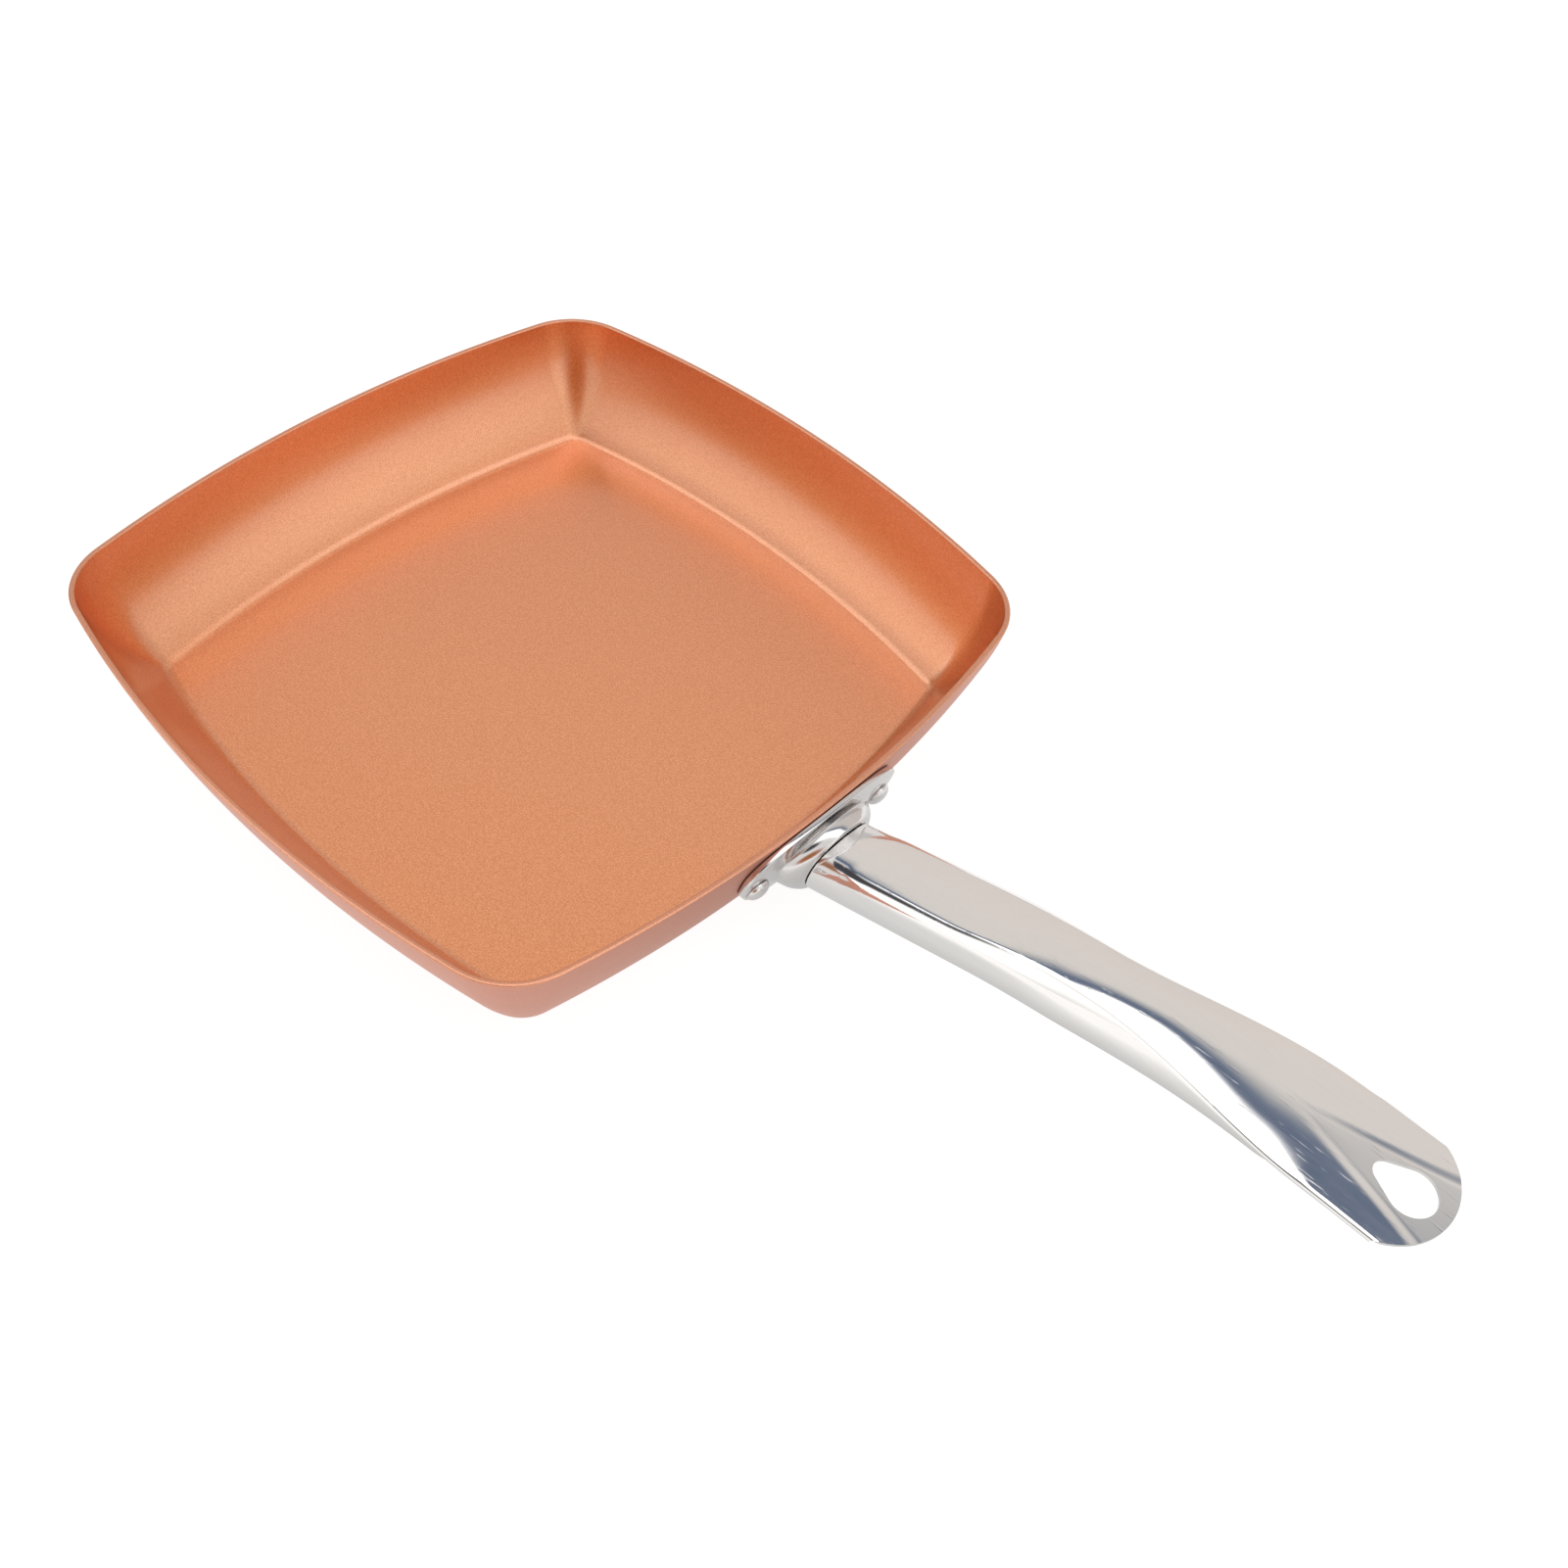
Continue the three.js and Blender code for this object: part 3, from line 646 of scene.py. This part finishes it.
def half_belly(place, crease):
    """Belly arc of each row, from the bottom or from the mouth's rim to just short of the crease."""
    half_width, _, belly = section_sizes(place)
    radius = (half_width**2 + belly**2) / (2 * belly)
    centre = radius - belly
    mouth_height = -TAIL_LIP - np.maximum(MOUTH_START - place, 0) * np.tan(MOUTH_SLANT)
    first = np.arccos(np.clip((centre - mouth_height) / radius, -1, 1))
    last = np.arctan2(half_width, centre) - crease / radius
    angle = first + (last - first) * np.linspace(0, 1, BELLY_COLUMNS)
    swell = SIDE_SWELL * ease(place, TONGUE_START, SWELL_FULL) * (1 - ease(place, SWELL_FADES, SWELL_ENDS))
    radius = radius + swell * np.exp(-(((angle - SWELL_ANGLE) / SWELL_SPREAD) ** 2))
    y = -radius * np.sin(angle)
    height = centre - radius * np.cos(angle)
    slope = (height[:, -1:] - height[:, -2:-1]) / (y[:, -1:] - y[:, -2:-1])
    return y, height, slope


def half_top(place, crease, hole_edge):
    """Top of each row from the crease over the flank and the pad to the middle or the hole's rim."""
    half_width = section_sizes(place)[0]
    pad_share = ease(place, GRIP_SPLIT_END, PAD_SPLIT_START)
    border = (1 - pad_share) * GRIP_SPLIT_SHARE * half_width + pad_share * pad_border(place)
    first = crease - half_width
    flank = first - (border + first) * np.linspace(0, 1, FLANK_COLUMNS, endpoint=False)
    pad = -border + (border - hole_edge) * np.linspace(0, 1, PAD_COLUMNS)
    y = np.hstack([flank, pad])
    slope = (top_height(place, first + SLOPE_STEP) - top_height(place, first)) / SLOPE_STEP
    return y, top_height(place, y), slope


def crease_round(place):
    """How far the rounded crease reaches from the edge: most at the neck, least on the tail."""
    to_tail = (TAIL_CREASE_ROUND - GRIP_CREASE_ROUND) * ease(place, GRIP_CREASE_END, TAIL_CREASE_START)
    from_neck = 1 - ease(place, NECK_CREASE_END, GRIP_CREASE_START)
    return GRIP_CREASE_ROUND + to_tail + (NECK_CREASE_ROUND - GRIP_CREASE_ROUND) * from_neck


def half_section(place, hole_edge):
    """y and height across half of each row. Between belly and top, a quadratic curve rounds the crease: its
    corner is where the tangents of the two cross."""
    crease = crease_round(place)
    belly_y, belly_h, belly_slope = half_belly(place, crease)
    top_y, top_h, top_slope = half_top(place, crease, hole_edge)
    y0, h0, y2, h2 = belly_y[:, -1:], belly_h[:, -1:], top_y[:, :1], top_h[:, :1]
    y1 = (h2 - h0 - top_slope * y2 + belly_slope * y0) / (belly_slope - top_slope)
    h1 = h2 + top_slope * (y1 - y2)
    part = np.linspace(0, 1, CREASE_COLUMNS)[1:-1]
    crease_y = (1 - part) ** 2 * y0 + 2 * part * (1 - part) * y1 + part**2 * y2
    crease_h = (1 - part) ** 2 * h0 + 2 * part * (1 - part) * h1 + part**2 * h2
    height = np.hstack([belly_h, crease_h, top_h]) - edge_drop(place)
    return np.hstack([belly_y, crease_y, top_y]), height


print("columns in half a section:", BELLY_COLUMNS + CREASE_COLUMNS - 2 + FLANK_COLUMNS + PAD_COLUMNS)

# %% [markdown]
# ## The handle's rows
# Rows lie closer together where the shape changes quickly: at the tongue, along the tail and round the hole.
# On the tail they bend little by little, from straight to the round of the end.

# %% Handle rows
# Runs of rows in mm: start, end and step
GRIP_RUNS = ((0, 10, 1), (10, 22, 0.25), (22, 136, 1), (136, 160, 0.5))
TAIL_PLACE = 160 * MM
TAIL_END_RADIUS = 18.4 * MM
FRONT_BLEND = 40 * MM
FRONT_GAP = 0.3 * MM
ROWS_BEFORE_HOLE = 12
ROWS_BESIDE_HOLE = 44
ROWS_AFTER_HOLE = 8
HOLE_ROUNDS = 20
tail_x = edge_path(TAIL_PLACE)[0] + TAIL_CROWN * np.sin(TAIL_DROOP)
tip_place = TAIL_PLACE + (tip_x - tail_x) / np.cos(TAIL_DROOP)
grip_rows = np.concatenate([np.arange(*run) for run in GRIP_RUNS])[:, None] * MM
hole_shares = (np.array([hole_start, hole_end]) - tail_x) / (tip_x - tail_x)
hole_steps = (1 - np.cos(np.linspace(0, np.pi, ROWS_BESIDE_HOLE))) / 2
before_hole = np.linspace(0, hole_shares[0], ROWS_BEFORE_HOLE, endpoint=False)
beside_hole = hole_shares[0] + (hole_shares[1] - hole_shares[0]) * hole_steps
after_hole = np.linspace(hole_shares[1], 1, ROWS_AFTER_HOLE + 1)[1:]
tail_shares = np.concatenate([before_hole, beside_hole, after_hole])[:, None]


def end_x(y):
    """x of the handle's round end at a place across it."""
    return tip_x - TAIL_END_RADIUS + np.sqrt(TAIL_END_RADIUS**2 - y**2)


def hole_edge_rows():
    """Where each row of the tail meets the hole's rim. Rows bend with the round end, so the meeting place is
    found by repeating: the rim's width at x, then x of the row at that width."""
    width = 0 * tail_shares
    for _ in range(HOLE_ROUNDS):
        width = hole_half_width(tail_x + tail_shares * (end_x(width) - tail_x))
    return width


print("handle rows:", len(grip_rows) + len(tail_shares))

# %% [markdown]
# ## The handle
# The half sections are laid along the path, cut off at the joint's plane in front and round at the end, and
# mirrored to the other side. Solidify gives the sheet its thickness inwards, and a small bevel takes the
# sharpness off its cut edges, as deburring does.

# %% Handle
SHEET_THICKNESS = 1 * MM
DEBURR_WIDTH = 0.22 * MM
DEBURR_SEGMENTS = 2
DEBURR_ANGLE = np.radians(40)


def handle_mesh():
    """Half sections along the path, cut at the joint in front and round at the end, and their mirror."""
    tail_rows = TAIL_PLACE + tail_shares * (tip_place - TAIL_PLACE)
    rows = np.concatenate([grip_rows, tail_rows])
    hole_edge = np.concatenate([0 * grip_rows, hole_edge_rows()])
    y, height = half_section(rows, hole_edge)
    front = (FRONT_GAP + (edge_rise + height[0]) * np.sin(joint_angle)) / np.cos(joint_angle)
    place = rows + front * np.maximum(1 - rows / FRONT_BLEND, 0)
    tail = slice(len(grip_rows), None)
    start_x = edge_path(TAIL_PLACE)[0] + height[tail] * np.sin(TAIL_DROOP)
    reach = (end_x(y[tail]) - start_x) / np.cos(TAIL_DROOP)
    place[tail] = TAIL_PLACE + tail_shares * reach
    x, z, slope = edge_path(place)
    half = np.stack([x - height * np.sin(slope), y, z + height * np.cos(slope)], axis=-1)
    points = np.concatenate([half.reshape(-1, 3), half.reshape(-1, 3) * [1, -1, 1]])
    quads = grid_quads(*y.shape, False)
    faces = np.concatenate([quads[:, ::-1], quads + y.size])
    return smooth_mesh("handle_looks", points, faces, outwards=False)


handle = add_piece("handle_looks", handle_mesh(), "handle_tube")
sheet = handle.modifiers.new("sheet thickness", "SOLIDIFY")
sheet.thickness = SHEET_THICKNESS
sheet.offset = -1
sheet.use_even_offset = True
deburr = handle.modifiers.new("deburred edges", "BEVEL")
deburr.width = DEBURR_WIDTH
deburr.segments = DEBURR_SEGMENTS
deburr.limit_method = "ANGLE"
deburr.angle_limit = DEBURR_ANGLE
deburr.harden_normals = True

# %% [markdown]
# ## Finishes
# Every finish is procedural: patterns on Object coordinates, which here are the frame's own metres, drive
# the colour, the roughness and the fine relief of one shader. These helpers add the nodes.

# %% Node helpers
def add_node(tree, kind, inputs=None, **settings):
    """Adds a node, sets its settings, and links or fills its inputs."""
    node = tree.nodes.new(kind)
    for name, value in settings.items():
        setattr(node, name, value)
    for socket, value in (inputs or {}).items():
        if isinstance(value, bpy.types.NodeSocket):
            tree.links.new(value, node.inputs[socket])
        else:
            node.inputs[socket].default_value = value
    return node


def new_finish(name, metallic):
    """A material with one shader, and the Object coordinates that its patterns read."""
    material = bpy.data.materials.new(name)
    material.use_nodes = True
    tree = material.node_tree
    shader = tree.nodes["Principled BSDF"]
    shader.inputs["Metallic"].default_value = metallic
    place = add_node(tree, "ShaderNodeTexCoord").outputs["Object"]
    return material, tree, shader, place


def noise(tree, place, scale, detail, stretch=(1, 1, 1)):
    """Noise from 0 to 1 on a place that is stretched along each axis."""
    mapped = add_node(tree, "ShaderNodeMapping", {"Vector": place, "Scale": stretch}).outputs["Vector"]
    inputs = {"Vector": mapped, "Scale": scale, "Detail": detail}
    return add_node(tree, "ShaderNodeTexNoise", inputs).outputs["Fac"]


def between(tree, share, low, high, data_type="FLOAT"):
    """Value or colour between two others, by a share from 0 to 1."""
    mix = add_node(tree, "ShaderNodeMix", data_type=data_type)
    sockets = [s for s in mix.inputs if s.enabled]
    for socket, value in zip(sockets, (share, low, high)):
        if isinstance(value, bpy.types.NodeSocket):
            tree.links.new(value, socket)
        else:
            socket.default_value = value
    return [s for s in mix.outputs if s.enabled][0]


def share_of_way(tree, value, low, high, interpolation="LINEAR"):
    """How far a value has come from low to high, from 0 to 1."""
    inputs = {"Value": value, "From Min": low, "From Max": high}
    way = add_node(tree, "ShaderNodeMapRange", inputs, interpolation_type=interpolation)
    return way.outputs["Result"]


def relief(tree, shader, height, strength, depth):
    """Gives the shader a fine relief by a height from 0 to 1."""
    bump = add_node(tree, "ShaderNodeBump", {"Height": height, "Strength": strength, "Distance": depth})
    tree.links.new(bump.outputs["Normal"], shader.inputs["Normal"])


# %% [markdown]
# ## The copper coating
# Such a pan is sprayed: a copper-coloured coat with metal flakes inside, under a thin clear layer, and a
# paler, more matt one outside. The flakes are a fine noise that changes the colour and the fine relief.
# The value called inside picks the coat and carries the clear layer. The floor is more matt than the walls,
# so the roughness falls with the height above it.

# %% Copper coating
COOKING_COAT = (0.9, 0.395, 0.185, 1)
COOKING_FLECK = (0.72, 0.26, 0.09, 1)
OUTER_COAT = (0.66, 0.325, 0.24, 1)
OUTER_FLECK = (0.62, 0.30, 0.22, 1)
FLECK_SCALE = 2000
FLECK_FROM = 0.3
FLECK_TO = 0.7
FLECK_STRENGTH = 0.25
FLECK_DEPTH = 0.02 * MM
CLOUD_SCALE = 60
SATIN_ROUGHNESS = (0.3, 0.36)
MATT_ROUGHNESS = (0.46, 0.52)
SATIN_RISE = 6 * MM
CLEAR_COAT_ROUGHNESS = 0.16
CLEAR_COAT_IOR = 1.8


def copper_coating():
    """Flecked copper coat under a clear layer inside, matt on the floor and satin above; matt outside."""
    material, tree, shader, place = new_finish("copper coating", 1.0)
    inside = add_node(tree, "ShaderNodeAttribute", attribute_name="inside").outputs["Fac"]
    fleck = share_of_way(tree, noise(tree, place, FLECK_SCALE, detail=1), FLECK_FROM, FLECK_TO)
    cooking = between(tree, fleck, COOKING_COAT, COOKING_FLECK, "RGBA")
    outer = between(tree, fleck, OUTER_COAT, OUTER_FLECK, "RGBA")
    tree.links.new(between(tree, inside, outer, cooking, "RGBA"), shader.inputs["Base Color"])
    cloud = noise(tree, place, CLOUD_SCALE, detail=3)
    satin = between(tree, cloud, *SATIN_ROUGHNESS)
    matt = between(tree, cloud, *MATT_ROUGHNESS)
    height = add_node(tree, "ShaderNodeSeparateXYZ", {0: place}).outputs["Z"]
    on_walls = share_of_way(tree, height, FLOOR_THICKNESS, FLOOR_THICKNESS + SATIN_RISE, "SMOOTHSTEP")
    satin_share = add_node(tree, "ShaderNodeMath", {0: on_walls, 1: inside}, operation="MULTIPLY").outputs[0]
    tree.links.new(between(tree, satin_share, matt, satin), shader.inputs["Roughness"])
    relief(tree, shader, fleck, FLECK_STRENGTH, FLECK_DEPTH)
    tree.links.new(inside, shader.inputs["Coat Weight"])
    shader.inputs["Coat Roughness"].default_value = CLEAR_COAT_ROUGHNESS
    shader.inputs["Coat IOR"].default_value = CLEAR_COAT_IOR
    return material


pan_body.data.materials.append(copper_coating())
print("pan body:", pan_body.data.materials[0].name)

# %% [markdown]
# ## The steels
# The handle is polished to a mirror. What is left of the work are faint lines along it, and use adds a few
# hair scratches: both are noise that is stretched along the handle. The bracket and the rivets are duller,
# as tumbled steel is. The base plate is turned on a lathe and keeps its rings.

# %% Steels
STEEL = (0.9, 0.885, 0.87, 1)
STEEL_SHADE = (0.86, 0.85, 0.84, 1)
STEEL_ROUGHNESS = (0.05, 0.12)
BRACKET_STEEL = (0.76, 0.74, 0.73, 1)
BRACKET_SHADE = (0.66, 0.645, 0.64, 1)
BRACKET_ROUGHNESS = (0.1, 0.18)
LINE_SCALE = 900
LINE_STRETCH = (0.08, 1, 1)
HAIR_STRETCH = (0.12, 1.6, 1)
HAIR_FROM = 0.62
HAIR_TO = 0.74
HAIR_STRENGTH = 0.35
HAIR_DEPTH = 0.02 * MM
BASE_STEEL = (0.6, 0.6, 0.59, 1)
BASE_SHINE = (0.72, 0.72, 0.71, 1)
BASE_ROUGHNESS = (0.28, 0.4)
RING_PATTERN = {"Scale": 400.0, "Distortion": 0.6, "Detail": 2.0}


def polished_steel(name, steel, shade, roughness):
    """Polished steel with faint lines along the handle and a few hair scratches."""
    material, tree, shader, place = new_finish(name, 1.0)
    lines = noise(tree, place, LINE_SCALE, detail=3, stretch=LINE_STRETCH)
    tree.links.new(between(tree, lines, steel, shade, "RGBA"), shader.inputs["Base Color"])
    tree.links.new(between(tree, lines, *roughness), shader.inputs["Roughness"])
    hairs = noise(tree, place, LINE_SCALE, detail=2, stretch=HAIR_STRETCH)
    relief(tree, shader, share_of_way(tree, hairs, HAIR_FROM, HAIR_TO), HAIR_STRENGTH, HAIR_DEPTH)
    return material


def base_steel():
    """Turned steel: fine rings round the middle of the base."""
    material, tree, shader, place = new_finish("turned base steel", 1.0)
    inputs = {"Vector": place, **RING_PATTERN}
    wave = add_node(tree, "ShaderNodeTexWave", inputs, wave_type="RINGS", rings_direction="Z")
    rings = wave.outputs["Fac"]
    tree.links.new(between(tree, rings, BASE_STEEL, BASE_SHINE, "RGBA"), shader.inputs["Base Color"])
    tree.links.new(between(tree, rings, *BASE_ROUGHNESS), shader.inputs["Roughness"])
    return material


handle.data.materials.append(polished_steel("polished steel", STEEL, STEEL_SHADE, STEEL_ROUGHNESS))
duller_steel = polished_steel("bracket steel", BRACKET_STEEL, BRACKET_SHADE, BRACKET_ROUGHNESS)
for piece in (bracket, *rivets):
    piece.data.materials.append(duller_steel)
base_plate.data.materials.append(base_steel())
for piece in (handle, bracket, *rivets, base_plate):
    print(piece.name + ":", piece.data.materials[0].name)

# %% [markdown]
# ## The studio's sky
# Polished steel is a mirror, so its streaks are pictures of the room. The room is a sky that shines. Its
# colours lie in bands by the angle above a plane square to the light: a pale warm side, a narrow dark band,
# a white light box and a pale side behind it. Round patches laid over the bands are the windows and dark
# places that light and shade the pan. The camera itself sees none of this, only a plain pale backdrop.

# %% Sky
LIGHT_AZIMUTH = -71
LIGHT_HEIGHT = 25.7
# Angle above the plane square to the light in degrees, and colour
SKY_BANDS = (
    (-90, (0.7, 0.65, 0.62)),
    (-30, (0.76, 0.7, 0.66)),
    (-9, (0.74, 0.7, 0.67)),
    (-5, (0.45, 0.45, 0.46)),
    (-1.5, (0.14, 0.18, 0.26)),
    (2.5, (0.09, 0.12, 0.2)),
    (5, (1.9, 1.9, 1.88)),
    (26, (1.9, 1.9, 1.88)),
    (34, (1.05, 1.03, 1.0)),
    (46, (0.89, 0.88, 0.87)),
    (90, (0.95, 0.94, 0.92)),
)
# Name, direction and height of the middle, radius of the full patch and of its faded edge in degrees, colour
SKY_PATCHES = (
    ("dark side of the room", -48, 16, 10, 27, (0.46, 0.17, 0.07)),
    ("left light", 25, 16, 18, 42, (0.8, 0.8, 0.8)),
    ("low window", 22, 17, 8, 18, (1.22, 1.21, 1.2)),
    ("low window at the corner", -9, 13, 5, 15, (1.25, 1.24, 1.22)),
    ("window behind the camera", -124, 18, 9, 22, (1.2, 1.19, 1.18)),
    ("dark gap beside the light", -160, 27, 9, 21, (0.06, 0.06, 0.07)),
    ("dark side behind the camera", -104, 59, 8, 19, (0.05, 0.05, 0.06)),
)
BACKDROP = (0.97, 0.97, 0.97, 1)


def facing(tree, direction, azimuth, height):
    """Cosine of the angle between a direction and the one at an azimuth from +X and a height, in degrees."""
    turn, rise = np.radians([azimuth, height])
    middle = (np.cos(turn) * np.cos(rise), np.sin(turn) * np.cos(rise), np.sin(rise))
    dot = add_node(tree, "ShaderNodeVectorMath", {0: direction, 1: middle}, operation="DOT_PRODUCT")
    return dot.outputs["Value"]


def band_colour(tree, direction):
    """Colour of the bands by the angle above the plane square to the light, the arcsine of a cosine."""
    toward_light = facing(tree, direction, LIGHT_AZIMUTH, LIGHT_HEIGHT)
    angle = add_node(tree, "ShaderNodeMath", {0: toward_light}, operation="ARCSINE").outputs[0]
    share = share_of_way(tree, angle, -np.pi / 2, np.pi / 2)
    ramp = add_node(tree, "ShaderNodeValToRGB", {"Fac": share})
    bands = ramp.color_ramp.elements
    while len(bands) < len(SKY_BANDS):
        bands.new(1.0)
    for band, (degrees, colour) in zip(bands, SKY_BANDS):
        band.position = (degrees + 90) / 180
        band.color = (*colour, 1)
    return ramp.outputs["Color"]


def studio_sky():
    """The bands of the sky with the round patches laid over them, and a plain backdrop for the camera."""
    world = bpy.data.worlds.new("studio sky")
    world.use_nodes = True
    tree = world.node_tree
    direction = add_node(tree, "ShaderNodeTexCoord").outputs["Generated"]
    colour = band_colour(tree, direction)
    for name, azimuth, height, inner, outer, patch_colour in SKY_PATCHES:
        faded, full = np.cos(np.radians([outer, inner]))
        share = share_of_way(tree, facing(tree, direction, azimuth, height), faded, full, "SMOOTHSTEP")
        colour = between(tree, share, colour, (*patch_colour, 1), "RGBA")
        print("sky patch:", name)
    seen = add_node(tree, "ShaderNodeLightPath").outputs["Is Camera Ray"]
    colour = between(tree, seen, colour, BACKDROP, "RGBA")
    tree.links.new(colour, tree.nodes["Background"].inputs["Color"])
    return world


bpy.context.scene.world = studio_sky()
print("sky bands:", len(SKY_BANDS))

# %% [markdown]
# ## The table
# The pan stands on a white table that shines a little by itself, as a lit sheet of paper does in a picture
# with a white ground. Mirrors would show it too evenly, so they see another glowing table just below it. Its
# glow
# carries a painted shade: it is darker near the line under the handle, where a handle shades a real table.

# %% Table
TABLE_SIZE = 6.0
TABLE_DROP = 0.05 * MM
TABLE_DARK = (0.19, 0.19, 0.19, 1)
TABLE_PALE = (0.2, 0.2, 0.2, 1)
TABLE_GRAIN_SCALE = 40
TABLE_ROUGHNESS = 0.8
PAINTED_SHADE_REACH = 130 * MM
WHITE_GLOW = (1, 1, 1, 1)
WHITE_GLOWS = (0.9, 0.9)
WARM_GLOW = (1, 0.985, 0.97, 1)
# Glows of the mirrored table: the low one under the handle is painted shade
MIRROR_GLOWS_PAINTED_SHADE = (0.4, 0.86)


def table_top(name, drop, glow_colour, glows):
    """A square under the pan that shines with the first glow under the handle and the second beside it; a
    lower first glow is painted shade.
    """
    half = TABLE_SIZE / 2
    corners = np.array([[-half, -half], [half, -half], [half, half], [-half, half]])
    points = np.hstack([corners, np.full((4, 1), -drop)])
    mesh = bpy.data.meshes.new(name)
    mesh.from_pydata(points.tolist(), [], [[0, 1, 2, 3]])
    material, tree, shader, place = new_finish(name, 0.0)
    grain = noise(tree, place, TABLE_GRAIN_SCALE, detail=2)
    tree.links.new(between(tree, grain, TABLE_DARK, TABLE_PALE, "RGBA"), shader.inputs["Base Color"])
    across = add_node(tree, "ShaderNodeSeparateXYZ", {0: place}).outputs["Y"]
    distance = add_node(tree, "ShaderNodeMath", {0: across}, operation="ABSOLUTE").outputs[0]
    # Painted shade: the glow is the first value on the line under the handle and changes to the second
    # across it
    glow = between(tree, share_of_way(tree, distance, 0, PAINTED_SHADE_REACH), *glows)
    tree.links.new(glow, shader.inputs["Emission Strength"])
    shader.inputs["Roughness"].default_value = TABLE_ROUGHNESS
    shader.inputs["Emission Color"].default_value = glow_colour
    mesh.materials.append(material)
    table = bpy.data.objects.new(name, mesh)
    bpy.context.collection.objects.link(table)
    return table


white_table = table_top("white table", TABLE_DROP, WHITE_GLOW, WHITE_GLOWS)
white_table.visible_glossy = False
mirrored_table = table_top("mirrored table", 2 * TABLE_DROP, WARM_GLOW, MIRROR_GLOWS_PAINTED_SHADE)
mirrored_table.visible_camera = False
print("tables:", white_table.name, "and", mirrored_table.name)

# %% [markdown]
# ## Camera
# The camera stands beside the end of the handle and looks back down on the pan, so the handle comes towards
# the viewer at the lower right. It is placed by where it stands, the point of the table that it looks at,
# and a small roll.

# %% Camera
CAMERA_PLACE = Vector((299.9, -236.7, 402.3)) * MM
CAMERA_AIM = Vector((83.27, 23.56, 0)) * MM
CAMERA_ROLL = np.radians(5.32)
CAMERA_LENS = 37.96
SENSOR_WIDTH = 36
NEAREST_SEEN = 10 * MM
camera_data = bpy.data.cameras.new("photo camera")
camera_data.lens = CAMERA_LENS
camera_data.sensor_width = SENSOR_WIDTH
camera_data.clip_start = NEAREST_SEEN
camera = bpy.data.objects.new("photo camera", camera_data)
bpy.context.collection.objects.link(camera)
aim = (CAMERA_AIM - CAMERA_PLACE).to_track_quat("-Z", "Y").to_matrix()
turn = aim @ Matrix.Rotation(CAMERA_ROLL, 3, "Z")
camera.matrix_world = Matrix.Translation(CAMERA_PLACE) @ turn.to_4x4()
bpy.context.scene.camera = camera
bpy.context.scene.view_settings.view_transform = "Standard"
print("camera turn:", [[round(c, 4) for c in row] for row in turn])

# %% Update the scene
bpy.context.view_layer.update()
